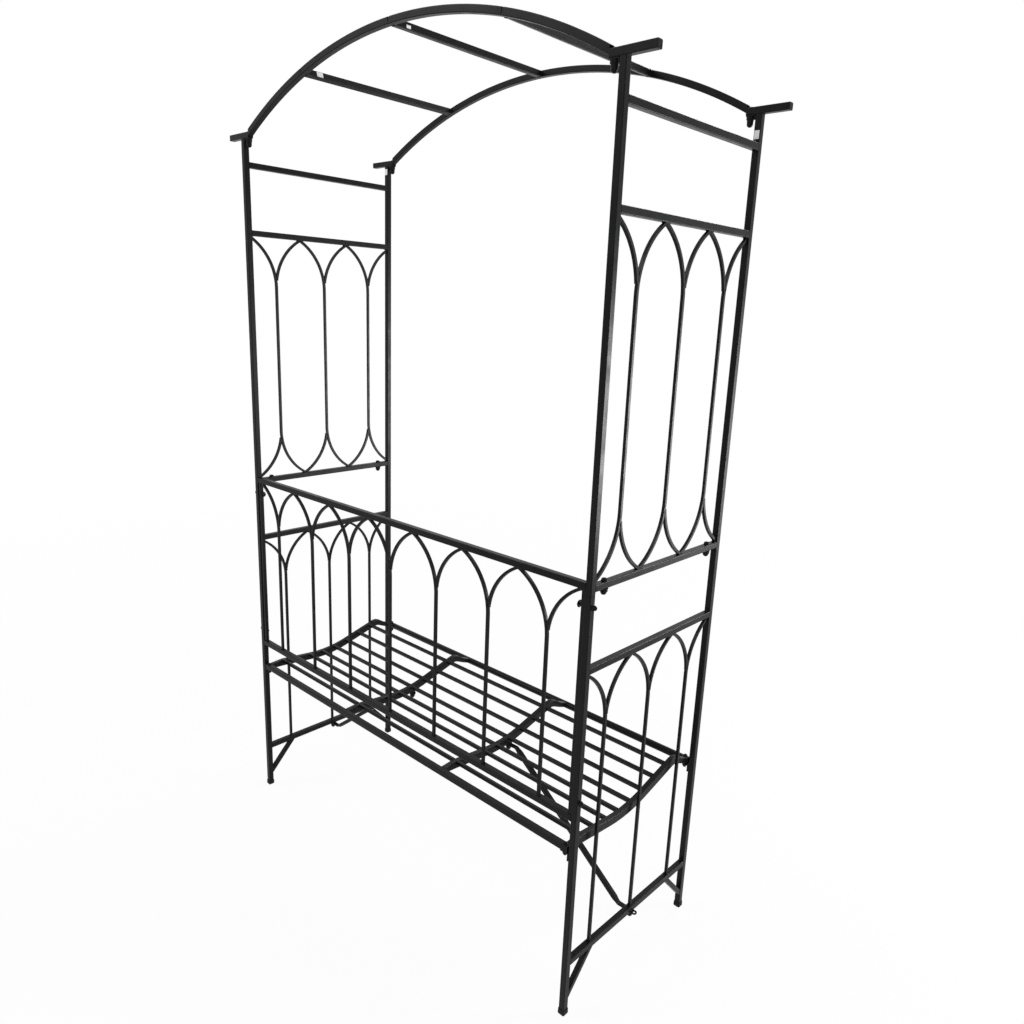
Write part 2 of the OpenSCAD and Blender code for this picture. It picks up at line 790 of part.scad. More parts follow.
foot_rail(RIGHT);  // foot_rail_right
lower_bars(RIGHT, [-1, -1, 1]);  // lower_bars_right
foot_braces(RIGHT);  // foot_braces_right
back_rail(back_top_z);  // back_top_rail
back_rail(back_low_z);  // back_bottom_rail
back_upright(LEFT);  // back_upright_left
back_upright(RIGHT);  // back_upright_right
back_bars();
seat_rear_rail();
seat_front_rail();
seat_rib(-rib_x, false);  // seat_end_left
seat_rib(rib_x, false);  // seat_end_right
seat_rib(-rib_step / 2, true);  // seat_rib_left
seat_rib(rib_step / 2, true);  // seat_rib_right
seat_slats();
seat_brackets();
seat_brace(LEFT);  // brace_left
seat_brace(RIGHT);  // brace_right
roof_segment(REAR, 1);  // roof_rear_1
roof_segment(REAR, 2);  // roof_rear_2
roof_segment(REAR, 3);  // roof_rear_3
roof_segment(REAR, 4);  // roof_rear_4
roof_segment(FRONT, 1);  // roof_front_1
roof_segment(FRONT, 2);  // roof_front_2
roof_segment(FRONT, 3);  // roof_front_3
roof_segment(FRONT, 4);  // roof_front_4
rung(-rung_angle);  // rung_left
rung(0);  // rung_middle
rung(rung_angle);  // rung_right
roof_sleeves();
post_sleeves();
bolts();
dome_nuts();
foot_caps();
stub_plugs();
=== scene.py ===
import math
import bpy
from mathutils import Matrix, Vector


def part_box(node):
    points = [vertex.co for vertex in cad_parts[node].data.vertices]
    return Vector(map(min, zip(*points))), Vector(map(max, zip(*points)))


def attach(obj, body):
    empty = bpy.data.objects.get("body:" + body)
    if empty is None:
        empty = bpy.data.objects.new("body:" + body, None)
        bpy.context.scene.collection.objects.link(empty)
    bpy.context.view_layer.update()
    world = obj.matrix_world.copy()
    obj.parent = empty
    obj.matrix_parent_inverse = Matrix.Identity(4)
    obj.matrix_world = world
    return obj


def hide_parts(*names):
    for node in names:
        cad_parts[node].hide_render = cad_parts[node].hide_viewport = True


bl_info = {
    "name": "Trellis arch with bench",
    "version": (1, 0, 0),
    "blender": (4, 5, 0),
    "location": "3D View > Sidebar > Trellis Arch",
    "description": "Coated tubes, bent bars, welds, bolts and caps of a garden arch with a bench",
    "category": "Object",
}

import bpy
import numpy as np
from bpy.props import FloatProperty, FloatVectorProperty, IntProperty, PointerProperty
from mathutils import Matrix

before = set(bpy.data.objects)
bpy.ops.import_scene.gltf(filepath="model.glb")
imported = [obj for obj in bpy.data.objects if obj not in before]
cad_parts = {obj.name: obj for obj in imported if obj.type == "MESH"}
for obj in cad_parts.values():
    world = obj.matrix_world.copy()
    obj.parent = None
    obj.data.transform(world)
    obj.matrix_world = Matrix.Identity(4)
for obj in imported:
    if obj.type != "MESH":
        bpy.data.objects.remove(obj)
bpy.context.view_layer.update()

LEFT, RIGHT, REAR, FRONT = -1, 1, -1, 1
SIDES = {"left": LEFT, "right": RIGHT}
ENDS = {"rear": REAR, "front": FRONT}
CORNERS = [
    (f"{end_name}_{side_name}", side, end)
    for side_name, side in SIDES.items()
    for end_name, end in ENDS.items()
]
X, Y, Z = np.eye(3)
TAU = 2 * math.pi


# ---- places and sizes, in metres ----------------------------------------------------


class Box:
    """Lowest corner, highest corner, middle and size of a node of the frame."""

    def __init__(self, node):
        self.lo, self.hi = (np.array(corner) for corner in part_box(node))
        self.mid = (self.lo + self.hi) / 2
        self.size = self.hi - self.lo


# Square tube of the frame, the seam between lower and upper posts, and the beads across a tube.
POST = Box("lower_post_front_right")
HALF_W, HALF_D, TUBE = POST.mid[0], POST.mid[1], POST.size[0]
HALF_TUBE = TUBE / 2
WALL = 0.001
SEAM_Z, SEAM_GAP = POST.hi[2], 0.0003
POST_TOP = Box("upper_post_front_right").hi[2]
STUB = Box("stub_front_right")
HEM_Z = Box("hem_rail_right").mid[2]
FOOT_RAIL = Box("foot_rail_right")
UPRIGHT = Box("back_upright_right")
BEAD_REACH = HALF_TUBE - 0.003

# Struts at the feet: width, where they meet the post and the foot rail, and their beads.
STRUT, STRUT_LOW_Z, STRUT_IN, STRUT_BEAD = 0.0125, 0.047, 0.075, 0.0055

# Bars: their number, the height of their arches, how far from the rail a short arc is welded,
# how far an end runs on into the rail, and the beads between two bars and beside a post.
BAR = Box("upper_bars_right").size[0]
SIDE_BARS, BACK_BARS = 3, 7
UPPER_RISE, LOWER_RISE, BACK_RISE = 0.135, 0.128, 0.132
WELD_IN, RUN_ON = 0.113, 0.001
POINT_BEAD, END_BEAD, END_BEAD_IN = 0.009, 0.006, 0.0066

# Seat: ribs, which are lifted and deepened between the rails, their contour, and the slats.
SEAT_REAR, SEAT_FRONT = Box("seat_rear_rail"), Box("seat_front_rail")
RIB = Box("seat_end_right").size[0]
RIB_X, INNER_RIB_X = Box("seat_end_right").mid[0], Box("seat_rib_right").mid[0]
RIB_LIFT, RIB_GROWTH, RIB_RAMP = 0.005, 0.006, 0.035
REAR_SLOPE, FRONT_SLOPE = math.radians(5.5), math.radians(16)
HOLLOW_R, HOLLOW_IN = 0.380, 0.186
CREST_R, CREST_IN = 0.042, 0.069
SLATS, SLAT, SLAT_PITCH, FIRST_SLAT = 8, 0.009, 0.0484, 0.047
SLAT_CORNER = 0.0009

# Braces: place, tube and flattened strip, the level ends and the bends between them.
BRACE_Y, BRACE, STRIP_T, STRIP_W = 0.0035, 0.012, 0.003, 0.014
BRACE_TOP_OUT, BRACE_FOOT_IN, STRIP_ROUND, STRIP_REACH = 0.029, 0.034, 0.012, 0.019
BRACE_BEND, BRACE_MORPH, BOSS_H = 0.009, 0.014, 0.0025

# Roof: both arcs are one circle through the stubs' inner ends and the middle rung.
RUNG_X, ARC_OVER_STUB, NOTCH = 0.335, 0.0055, 0.005
CROWN_Z = Box("rung_middle").mid[2]
ARC_END_X, ARC_END_Z = STUB.lo[0], STUB.mid[2] + ARC_OVER_STUB
ROOF_RISE = CROWN_Z - ARC_END_Z
ROOF_R = (ARC_END_X**2 + ROOF_RISE**2) / (2 * ROOF_RISE)
ROOF_CENTRE_Z = CROWN_Z - ROOF_R
RUNG_ANGLE = math.asin(RUNG_X / ROOF_R)
END_ANGLE = math.asin(ARC_END_X / ROOF_R)
NOTCH_SLOPE = NOTCH / (2 * TUBE)

# Angles at the posts' tops and brackets under the seat rails: thickness, width and drop.
ANGLE_T, ANGLE_W, ANGLE_DROP = 0.0025, 0.012, 0.010
BRACKET_T, BRACKET_W, BRACKET_DROP, BRACKET_PAST_BOLT = 0.0025, TUBE - 0.0004, 0.020, 0.009

# Bolts: shank, socket, places, and the width, height and stem of each kind of head.
BOLT_D, SOCKET = 0.006, 0.002
SEAM_BOLT_Y = HALF_D - 0.043
SEAT_BOLT_X = SEAT_REAR.hi[0] - 0.0105
ROOF_BOLT_X = ARC_END_X + 0.008
SEAM_HEAD = (0.0136, 0.0055, 0.0)
SEAT_HEAD = (0.0105, 0.0036, 0.0)
LOW_HEAD = (0.0095, 0.0016, 0.0)
DISC_HEAD = (0.0160, 0.0030, 0.0060)
BACK_BOLTS = ((0.540, SEAT_HEAD), (0.973, DISC_HEAD))

# Cap nuts: width over flats, height, collar, and the larger size at seams and braces. Long caps:
# width at the collar and at the end, and height.
NUT_FLAT, NUT_H, COLLAR_T, LARGE_NUT = 0.0102, 0.006, 0.0012, 1.4
CAP_TOP_D, CAP_END_D, CAP_H = 0.0158, 0.0132, 0.0210

# Blank labels: width, thickness, rounding, and distance off the tube's face. Then side and
# distance under the post's top, and angle on the roof, length, width and distance inwards.
LABEL_W, LABEL_T, LABEL_EDGE, LABEL_OFF = 0.0115, 0.0002, 0.00009, 0.00015
POST_LABEL_L, POST_LABELS = 0.017, ((RIGHT, 0.0405), (LEFT, 0.0165))
RUNG_LABEL_Y = 0.043 - HALF_D
RUNG_LABELS = ((-RUNG_ANGLE, 0.0175, LABEL_W, 0.0), (0.0, 0.0115, 0.0065, 0.002))


class ArchSizes(bpy.types.PropertyGroup):
    """Rounding of the sections and size of the welds."""

    tube_corner: FloatProperty(
        name="Tube corner",
        description="Outer corner radius of the frame tube",
        default=0.0018,
        unit="LENGTH",
    )
    bar_corner: FloatProperty(
        name="Bar corner",
        description="Corner radius of the square bars",
        default=0.0007,
        unit="LENGTH",
    )
    weld: FloatProperty(
        name="Weld bead",
        description="Radius of the beads at tube joints",
        default=0.0017,
        unit="LENGTH",
    )
    small_weld: FloatProperty(
        name="Small weld bead",
        description="Radius of the beads at bars and slats",
        default=0.0014,
        unit="LENGTH",
    )
    corner_steps: IntProperty(
        name="Corner steps",
        description="Facets round each corner of a section",
        default=4,
        min=2,
        max=8,
    )


class ArchFinish(bpy.types.PropertyGroup):
    """Colours and roughness of the finishes."""

    coat: FloatVectorProperty(
        name="Powder coat",
        description="Colour of the coated steel",
        subtype="COLOR",
        default=(0.0075, 0.0077, 0.0082),
    )
    coat_roughness: FloatProperty(
        name="Coat roughness",
        description="Mean roughness of the powder coat",
        default=0.30,
        subtype="FACTOR",
    )
    # Lighter colour for the corners: wear, and a painted highlight along the edges.
    wear_and_highlight: FloatVectorProperty(
        name="Rubbed edge",
        description="Colour of rubbed corners",
        subtype="COLOR",
        default=(0.06, 0.06, 0.062),
    )
    fastener: FloatVectorProperty(
        name="Fasteners",
        description="Colour of bolts and nuts",
        subtype="COLOR",
        default=(0.008, 0.008, 0.0085),
    )
    plastic: FloatVectorProperty(
        name="Plastic",
        description="Colour of caps and plugs",
        subtype="COLOR",
        default=(0.008, 0.008, 0.0085),
    )
    sleeve: FloatVectorProperty(
        name="Sleeves",
        description="Colour of the joint sleeves",
        subtype="COLOR",
        default=(0.012, 0.012, 0.0125),
    )
    label: FloatVectorProperty(
        name="Blank labels",
        description="Colour of the blank paper labels",
        subtype="COLOR",
        default=(0.86, 0.86, 0.85),
    )
    floor: FloatVectorProperty(
        name="Floor",
        description="Colour of the floor",
        subtype="COLOR",
        default=(0.86, 0.86, 0.86),
    )


def sizes():
    return bpy.context.scene.arch_sizes


def finish():
    return bpy.context.scene.arch_finish


# ---- surfaces -----------------------------------------------------------------------


class Shape:
    """Points, faces and corner normals gathered for one piece."""

    def __init__(self):
        self.points, self.edges, self.faces, self.normals = [], [], [], []
        self.count = 0

    def add_points(self, points, edge=0.0):
        """Adds points, says how near each is to a rounded corner, and returns the first number."""
        first = self.count
        flat = np.reshape(points, (-1, 3))
        self.points.append(flat)
        self.edges.append(np.broadcast_to(edge, np.shape(points)[:-1]).reshape(-1))
        self.count += len(flat)
        return first

    def add_faces(self, corners, normals):
        """Adds faces of equally many corners, with a normal for each corner."""
        corners = np.asarray(corners)
        self.faces.extend(corners.reshape(-1, corners.shape[-1]).tolist())
        self.normals.append(np.broadcast_to(normals, corners.shape + (3,)).reshape(-1, 3))

    def mesh(self, name):
        """Makes the mesh: faces as gathered, smooth, with the gathered corner normals."""
        mesh = bpy.data.meshes.new(name)
        mesh.from_pydata(np.concatenate(self.points), [], self.faces)
        mesh.update()
        mesh.polygons.foreach_set("use_smooth", np.ones(len(mesh.polygons), bool))
        normals = np.concatenate(self.normals)
        mesh.normals_split_custom_set(normals / np.linalg.norm(normals, axis=1, keepdims=True))
        wear_and_highlight = mesh.attributes.new("corner", "FLOAT", "POINT")
        wear_and_highlight.data.foreach_set("value", np.concatenate(self.edges).astype(np.float32))
        return mesh


def unit(vector):
    """The vector over its length."""
    vector = np.asarray(vector, float)
    return vector / np.linalg.norm(vector)


def ring(columns):
    """Directions (cos, sin) of equal steps round a circle, and their angles."""
    angle = np.arange(columns) * TAU / columns
    return np.stack((np.cos(angle), np.sin(angle)), 1), angle


def grid_quads(rows, columns, closed_rows=False):
    """Corner numbers of a grid's faces, shape (strips, columns, 4); the columns are closed."""
    row = np.arange(rows if closed_rows else rows - 1)[:, None]
    column = np.arange(columns)[None, :]
    here, there = row * columns, (row + 1) % rows * columns
    beside = (column + 1) % columns
    corners = (here + column, here + beside, there + beside, there + column)
    return np.stack(np.broadcast_arrays(*corners), -1)


def ring_normals(place, row):
    """Normals of the flat faces between a grid's row and the next one: the step along the row
    crossed with the step to the next row."""
    here, there = place[row], place[(row + 1) % len(place)]
    return np.cross(np.roll(here, -1, 0) - here, there - here)[:, None, :]


def rounded(width, depth, radius, steps):
    """Rounded rectangles, anticlockwise: each corner's centre plus its radius times (cos, sin).

    Returns points (sections, n, 2), normals (n, 2), and the corner share sin(2t) along each arc.
    """
    turn = np.linspace(0, math.pi / 2, steps + 1)
    angle = (turn[None, :] + np.arange(4)[:, None] * math.pi / 2).ravel()
    quarter = np.repeat(np.arange(4), steps + 1)
    corner = np.array(((1, 1), (-1, 1), (-1, -1), (1, -1)))[quarter]
    normals = np.stack((np.cos(angle), np.sin(angle)), 1)
    sides = np.broadcast_arrays(np.atleast_1d(width), np.atleast_1d(depth))
    half = np.stack(sides, -1)[:, None, :] / 2
    radius = np.broadcast_to(np.atleast_1d(radius), half.shape[:1])[:, None, None]
    points = corner * (half - radius) + radius * normals
    share = np.tile(np.sin(2 * turn), 4)
    return points, normals, share


def walk(steps, heading=0.0, start=(0.0, 0.0), fine=math.radians(2.5), spacing=None):
    """Stations of a flat path and their headings.

    Each step is (straight, radius, angle): the point runs along the heading h by the straight,
    then round a bend, start + r (sin t along + (1 - cos t) aside), with t from 0 to the angle.
    A bend has a station for each fine angle, a straight one for each spacing.
    """
    spot = np.array(start, float)
    points, headings = [spot[None]], [np.array([heading])]
    for straight, radius, angle in steps:
        along = np.array((math.cos(heading), math.sin(heading)))
        if straight > 0:
            count = 1 if spacing is None else max(1, math.ceil(straight / spacing))
            run = np.arange(1, count + 1)[:, None] / count * straight
            points.append(spot + run * along)
            headings.append(np.full(count, heading))
            spot = spot + straight * along
        if angle:
            aside = np.array((-along[1], along[0])) * np.sign(angle)
            count = max(2, math.ceil(abs(angle) / fine))
            turn = np.arange(1, count + 1) / count * abs(angle)
            ahead, over = np.sin(turn)[:, None], (1 - np.cos(turn))[:, None]
            points.append(spot + radius * (ahead * along + over * aside))
            headings.append(heading + np.sign(angle) * turn)
            spot, heading = points[-1][-1], heading + angle
    return np.concatenate(points), np.concatenate(headings)


def blunted(points, headings, width, depth, radius, blunt):
    """Three stations more at each end of a path, which round the end: there the section shrinks
    by r (1 - cos t) while it runs on by r sin t, and the surface leans towards the end by t."""
    turn = np.linspace(0, math.pi / 2, 4)[1:]
    shrink = 2 * blunt * (1 - np.cos(turn))
    run = (blunt * np.sin(turn))[:, None]
    ways = np.stack((np.cos(headings), np.sin(headings)), 1)
    points = points.copy()
    points[0] += ways[0] * blunt
    points[-1] -= ways[-1] * blunt
    points = np.concatenate((points[0] - ways[0] * run[::-1], points, points[-1] + ways[-1] * run))
    lean = np.concatenate((-turn[::-1], np.zeros(len(headings)), turn))
    width = np.concatenate((width[0] - shrink[::-1], width, width[-1] - shrink))
    depth = np.concatenate((depth[0] - shrink[::-1], depth, depth[-1] - shrink))
    radius = np.minimum(np.pad(radius, 3, "edge"), np.minimum(width, depth) / 2)
    return points, np.pad(headings, 3, "edge"), width, depth, radius, lean


def sweep(shape, origin, along, up, path, width, depth, radius, wall=0.0, slant=None, blunt=0.0):
    """Carries a rounded rectangle along a flat path.

    A point is path + a side + b up, with up turned by the path's heading. A wall gives a second,
    smaller surface back through the inside, so a tube is one closed surface with ring ends; a
    solid bar is closed by flat ends, which blunt rounds. slant gives (slope, pivot) for the first
    and the last end: there the cut leans along the path by the slope times (b - pivot).
    """
    points, headings = path
    section = (width, depth, radius)
    width, depth, radius = (np.broadcast_to(np.asarray(v, float), len(points)) for v in section)
    lean = np.zeros(len(points))
    if blunt:
        rounder = blunted(points, headings, width, depth, radius, blunt)
        points, headings, width, depth, radius, lean = rounder
    count = len(points)
    along, up = np.asarray(along, float), np.asarray(up, float)
    side = np.cross(up, along)
    cos, sin = np.cos(headings)[:, None], np.sin(headings)[:, None]
    forward, upward = cos * along + sin * up, cos * up - sin * along
    centre = np.asarray(origin, float) + points[:, :1] * along + points[:, 1:] * up
    steps = sizes().corner_steps

    def surface(cut):
        corner = np.maximum(radius - cut, 1e-4)
        outline, normal, share = rounded(width - 2 * cut, depth - 2 * cut, corner, steps)
        a, b = outline[..., :1], outline[..., 1:]
        place = centre[:, None] + a * side + b * upward[:, None]
        if slant:
            for row, (slope, pivot) in zip((0, -1), slant):
                place[row] += (b[row] - pivot) * slope * forward[row]
        facing = normal[None, :, :1] * side + normal[None, :, 1:] * upward[:, None]
        turned = np.cos(lean)[:, None, None] * facing + np.sin(lean)[:, None, None] * forward[:, None]
        return place, turned, share

    place, facing, share = surface(0.0)
    columns = place.shape[1]
    if wall > 0:
        inner, inward, _ = surface(wall)
        place = np.concatenate((place, inner[::-1]))
        facing = np.concatenate((facing, -inward[::-1]))
        share = np.concatenate((np.tile(share, (count, 1)), np.zeros((count, columns))))
        first = shape.add_points(place, share)
        quads = grid_quads(2 * count, columns, True)
        normals = facing.reshape(-1, 3)[quads]
        for row in (count - 1, 2 * count - 1):
            normals[row] = ring_normals(place, row)
        shape.add_faces(quads + first, normals)
        return
    first = shape.add_points(place, np.tile(share, (count, 1)))
    quads = grid_quads(count, columns)
    shape.add_faces(quads + first, facing.reshape(-1, 3)[quads])
    around = np.arange(columns)
    shape.add_faces((first + around[::-1])[None], -forward[0])
    shape.add_faces((first + (count - 1) * columns + around)[None], forward[-1])


def circle(columns=24):
    """Outline of a turned piece: radius times (cos, sin)."""

    def outline(reach):
        normals, _ = ring(columns)
        return reach[:, None, None] * normals, normals

    return outline


def hexagon(mix, columns=36):
    """Outline that is round where mix is 0 and a hexagon where it is 1: radius / cos of the
    angle to the nearest flat's middle."""

    def outline(reach):
        normals, angle = ring(columns)
        lobe = 1 / np.cos((angle + TAU / 12) % (TAU / 6) - TAU / 12)
        growth = 1 + np.asarray(mix)[:, None] * (lobe - 1)
        return (reach[:, None] * growth)[..., None] * normals, normals

    return outline


def square(radius):
    """Outline that is a square of the given half size with round corners."""

    def outline(reach):
        corner = np.minimum(radius, reach * 0.999)
        points, normals, _ = rounded(2 * reach, 2 * reach, corner, sizes().corner_steps)
        return points, normals

    return outline


def loft(shape, origin, axis, reach, heights, outline, ref=None):
    """Stacks an outline along an axis: a row is origin + outline(reach) + height axis.

    The profile (reach, height) runs from the low end to the high end. A zero reach closes in one
    point, any other end in a flat face. A normal is the outline's, tilted square to the profile,
    and neighbouring strips that turn by less than 40 degrees share it.
    """
    axis = np.asarray(axis, float)
    reach, heights = np.asarray(reach, float), np.asarray(heights, float)
    e1 = unit(np.cross(Y if abs(axis[1]) < 0.9 else X, axis) if ref is None else ref)
    e2 = np.cross(axis, e1)
    low_pole, high_pole = reach[0] < 1e-7, reach[-1] < 1e-7
    body = slice(1 if low_pole else 0, len(reach) - 1 if high_pole else len(reach))
    flat, normal = outline(reach)
    flat_ring = normal[:, :1] * e1 + normal[:, 1:] * e2
    level = np.asarray(origin, float) + flat[..., :1] * e1 + flat[..., 1:] * e2
    place = level + heights[:, None, None] * axis
    strip = np.stack((np.diff(heights), -np.diff(reach)), 1)
    strip /= np.maximum(np.linalg.norm(strip, axis=1, keepdims=True), 1e-12)
    soft = np.sum(strip[1:] * strip[:-1], 1) > math.cos(math.radians(40))
    mean = strip[1:] + strip[:-1]
    start, end = strip.copy(), strip.copy()
    start[1:][soft] = mean[soft]
    end[:-1][soft] = mean[soft]

    def facing(row_normal):
        return row_normal[:, None, :1] * flat_ring + row_normal[:, None, 1:] * axis

    from_n, to_n = facing(start), facing(end)
    rows = place[body]
    columns = rows.shape[1]
    first = shape.add_points(rows)
    last = first + (len(rows) - 1) * columns
    strips = slice(body.start, body.start + len(rows) - 1)
    low, high = from_n[strips], to_n[strips]
    normals = np.stack((low, np.roll(low, -1, 1), np.roll(high, -1, 1), high), 2)
    shape.add_faces(grid_quads(len(rows), columns) + first, normals)
    around = np.arange(columns)
    beside = np.roll(around, -1)
    if low_pole:
        pole = shape.add_points(place[0, :1])
        fan = np.stack((np.full(columns, pole), first + beside, first + around), 1)
        shape.add_faces(fan, np.stack((from_n[0], np.roll(to_n[0], -1, 0), to_n[0]), 1))
    else:
        shape.add_faces((first + around[::-1])[None], -axis)
    if high_pole:
        pole = shape.add_points(place[-1, :1])
        fan = np.stack((np.full(columns, pole), last + around, last + beside), 1)
        shape.add_faces(fan, np.stack((to_n[-1], from_n[-1], np.roll(from_n[-1], -1, 0)), 1))
    else:
        shape.add_faces((last + around)[None], axis)


def bead(shape, middle, half, radius, ripples=5):
    """Weld bead that runs from its middle by half, a vector, to both sides: a round run whose
    radius is r (1 - |x|^6)^(1/2) at x from -1 to 1, times 1 + 0.1 cos for the ripples."""
    x = -np.cos(np.linspace(0, math.pi, 4 * ripples + 1))
    ripple = 1 + 0.1 * np.cos(x * math.pi * ripples)
    reach = radius * np.sqrt(np.maximum(1 - np.abs(x) ** 6, 0)) * ripple
    reach[[0, -1]] = 0
    run = np.linalg.norm(half) + radius * 0.6
    loft(shape, middle, unit(half), reach, x * run, circle(10))


def tube(shape, start, stop, size=TUBE, up=Z):
    """Square tube between two points with round corners."""
    start, stop = np.asarray(start, float), np.asarray(stop, float)
    path = walk([(np.linalg.norm(stop - start), 0, 0)])
    corner = sizes().tube_corner * size / TUBE
    sweep(shape, start, unit(stop - start), up, path, size, size, corner, WALL)


def tube_along(shape, box, axis, size=TUBE, up=Z):
    """Square tube through the middle of a node's box, from end to end along an axis."""
    tube(shape, np.where(axis, box.lo, box.mid), np.where(axis, box.hi, box.mid), size, up)


def new_object(name, data):
    thing = bpy.data.objects.new(name, data)
    bpy.context.scene.collection.objects.link(thing)
    return thing


def place(name, shape, material, slot, *nodes):
    """Makes the piece, which rides on the frame and stands for its nodes."""
    piece = new_object(name, shape.mesh(name))
    piece.data.materials.append(material)
    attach(piece, "root")
    if nodes:
        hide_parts(*nodes)
    return piece


def coated(node, shape):
    return place(node + "_coated", shape, powder_coat(), "black_powder_coat", node)


def straight_piece(node, axis):
    """Makes a piece that is one square tube along an axis."""
    shape = Shape()
    tube_along(shape, Box(node), axis)
    coated(node, shape)


# ---- finishes -----------------------------------------------------------------------

BLACK, WHITE = (0.0, 0.0, 0.0, 1.0), (1.0, 1.0, 1.0, 1.0)


class Nodes:
    """Short way to lay out the nodes of a material or a world."""

    def __init__(self, owner):
        owner.use_nodes = True
        self.tree = owner.node_tree
        self.tree.nodes.clear()

    def add(self, kind, inputs=(), **values):
        """Adds a node with its settings; an input is a number, a colour or another's output."""
        node = self.tree.nodes.new(kind)
        for name, value in values.items():
            setattr(node, name, value)
        for socket, value in dict(inputs).items():
            if isinstance(value, bpy.types.NodeSocket):
                self.tree.links.new(value, node.inputs[socket])
            else:
                node.inputs[socket].default_value = value
        return node

    def noise(self, where, scale, detail):
        inputs = {"Vector": where, "Scale": scale, "Detail": detail}
        return self.add("ShaderNodeTexNoise", inputs).outputs["Fac"]

    def spread(self, value, low, high, to_low, to_high):
        """Linear change of range, clamped."""
        inputs = {"Value": value, "From Min": low, "From Max": high, "To Min": to_low, "To Max": to_high}
        return self.add("ShaderNodeMapRange", inputs).outputs["Result"]

    def calc(self, operation, a, b, **values):
        return self.add("ShaderNodeMath", {0: a, 1: b}, operation=operation, **values).outputs[0]

    def blend(self, share, a, b):
        """Colour a where the share is 0, b where it is 1."""
        return self.add("ShaderNodeMix", {0: share, 6: a, 7: b}, data_type="RGBA").outputs[2]

    def blend_shaders(self, share, a, b):
        return self.add("ShaderNodeMixShader", {0: share, 1: a.outputs[0], 2: b.outputs[0]}).outputs[0]


def shade(colour, factor=1.0):
    return tuple(min(1.0, c * factor) for c in colour) + (1.0,)


def coat_material(name, colour, roughness, skin_scale, skin_depth, wear_and_highlight=None):
    """Painted or moulded surface: patches of two shades, uneven sheen, fine skin texture, and lighter
    specks on the corners where a piece has its corners marked, which stand for wear and also paint a
    highlight along the edges."""
    if name in bpy.data.materials:
        return bpy.data.materials[name]
    material = bpy.data.materials.new(name)
    n = Nodes(material)
    where = n.add("ShaderNodeTexCoord").outputs["Object"]
    patches = n.spread(n.noise(where, 9.0, 4.0), 0.35, 0.65, 0.0, 1.0)
    base = n.blend(patches, shade(colour, 0.82), shade(colour, 1.22))
    rough = n.spread(n.noise(where, 26.0, 3.0), 0.3, 0.7, roughness - 0.05, roughness + 0.07)
    # Lighter specks on the rounded corners: wear, and a painted highlight along the edges.
    if wear_and_highlight:
        corner = n.add("ShaderNodeAttribute", attribute_name="corner").outputs["Fac"]
        specks = n.spread(n.noise(where, 210.0, 3.0), 0.56, 0.70, 0.0, 0.8)
        rubbed_and_highlighted = n.calc("MULTIPLY", n.spread(corner, 0.55, 1.0, 0.0, 1.0), specks)
        base = n.blend(rubbed_and_highlighted, base, shade(wear_and_highlight))
        rough = n.calc("ADD", n.calc("MULTIPLY", rubbed_and_highlighted, -0.10), rough)
    skin = n.noise(where, skin_scale, 2.0)
    bump = n.add("ShaderNodeBump", {"Strength": 0.35, "Distance": skin_depth, "Height": skin})
    inputs = {"Base Color": base, "Roughness": rough, "Normal": bump.outputs["Normal"]}
    inputs["Specular IOR Level"] = 0.09
    shader = n.add("ShaderNodeBsdfPrincipled", inputs)
    n.add("ShaderNodeOutputMaterial", {"Surface": shader.outputs["BSDF"]})
    return material


def powder_coat():
    look = finish()
    return coat_material("satin_powder_coat", look.coat, look.coat_roughness, 620.0, 0.00006, look.wear_and_highlight)


def fastener_black():
    return coat_material("semi_gloss_black", finish().fastener, 0.28, 900.0, 0.00003, finish().wear_and_highlight)


def plastic_black():
    return coat_material("moulded_black", finish().plastic, 0.5, 480.0, 0.00008)


def sleeve_coat():
    return coat_material("sleeve_coat", finish().sleeve, 0.42, 700.0, 0.00004)


def label_paper():
    return coat_material("blank_label", finish().label, 0.45, 1400.0, 0.00001)


# ---- side frames --------------------------------------------------------------------


def angle_strip(shape, corner, outward, length, drop, width, thick):
    """Flat strip bent to an angle, from the far end of its level leg round the corner and down.
    The corner is at the middle of the level leg's thickness and on the down leg's outer face."""
    bend = 0.8 * thick
    short = bend + thick / 2
    steps = [(length - short, 0, 0), (0, bend, math.pi / 2), (drop - short, 0, 0)]
    path = walk(steps, heading=math.pi, start=(length, 0), fine=math.radians(15))
    sweep(shape, corner, outward, Z, path, width, thick, thick * 0.2, blunt=thick * 0.2)


def post_pieces():
    """Lower posts, and upper posts with an angle at the top for the roof bolt."""
    out = HALF_W - HALF_TUBE - ANGLE_T / 2
    for corner, side, end in CORNERS:
        x, y = side * HALF_W, end * HALF_D
        lower, upper = Shape(), Shape()
        tube(lower, (x, y, POST.lo[2]), (x, y, SEAM_Z - SEAM_GAP), up=Y)
        coated(f"lower_post_{corner}", lower)
        tube(upper, (x, y, SEAM_Z + SEAM_GAP), (x, y, POST_TOP), up=Y)
        spot = (side * out, y, POST_TOP - ANGLE_T / 2)
        angle_strip(upper, spot, -side * X, out - ARC_END_X, ANGLE_DROP, ANGLE_W, ANGLE_T)
        coated(f"upper_post_{corner}", upper)


def rail_pieces():
    """Rails of the side frames, with beads over and under both ends where they meet the posts."""
    for side_name, side in SIDES.items():
        for rail in ("top_rail", "frieze_rail", "hem_rail", "arm_rail", "foot_rail"):
            node, shape = f"{rail}_{side_name}", Shape()
            box = Box(node)
            tube_along(shape, box, Y)
            for end in ENDS.values():
                for dz in (-HALF_TUBE, HALF_TUBE):
                    spot = (side * HALF_W, end * (HALF_D - HALF_TUBE), box.mid[2] + dz)
                    bead(shape, spot, X * BEAD_REACH, sizes().weld)
            coated(node, shape)


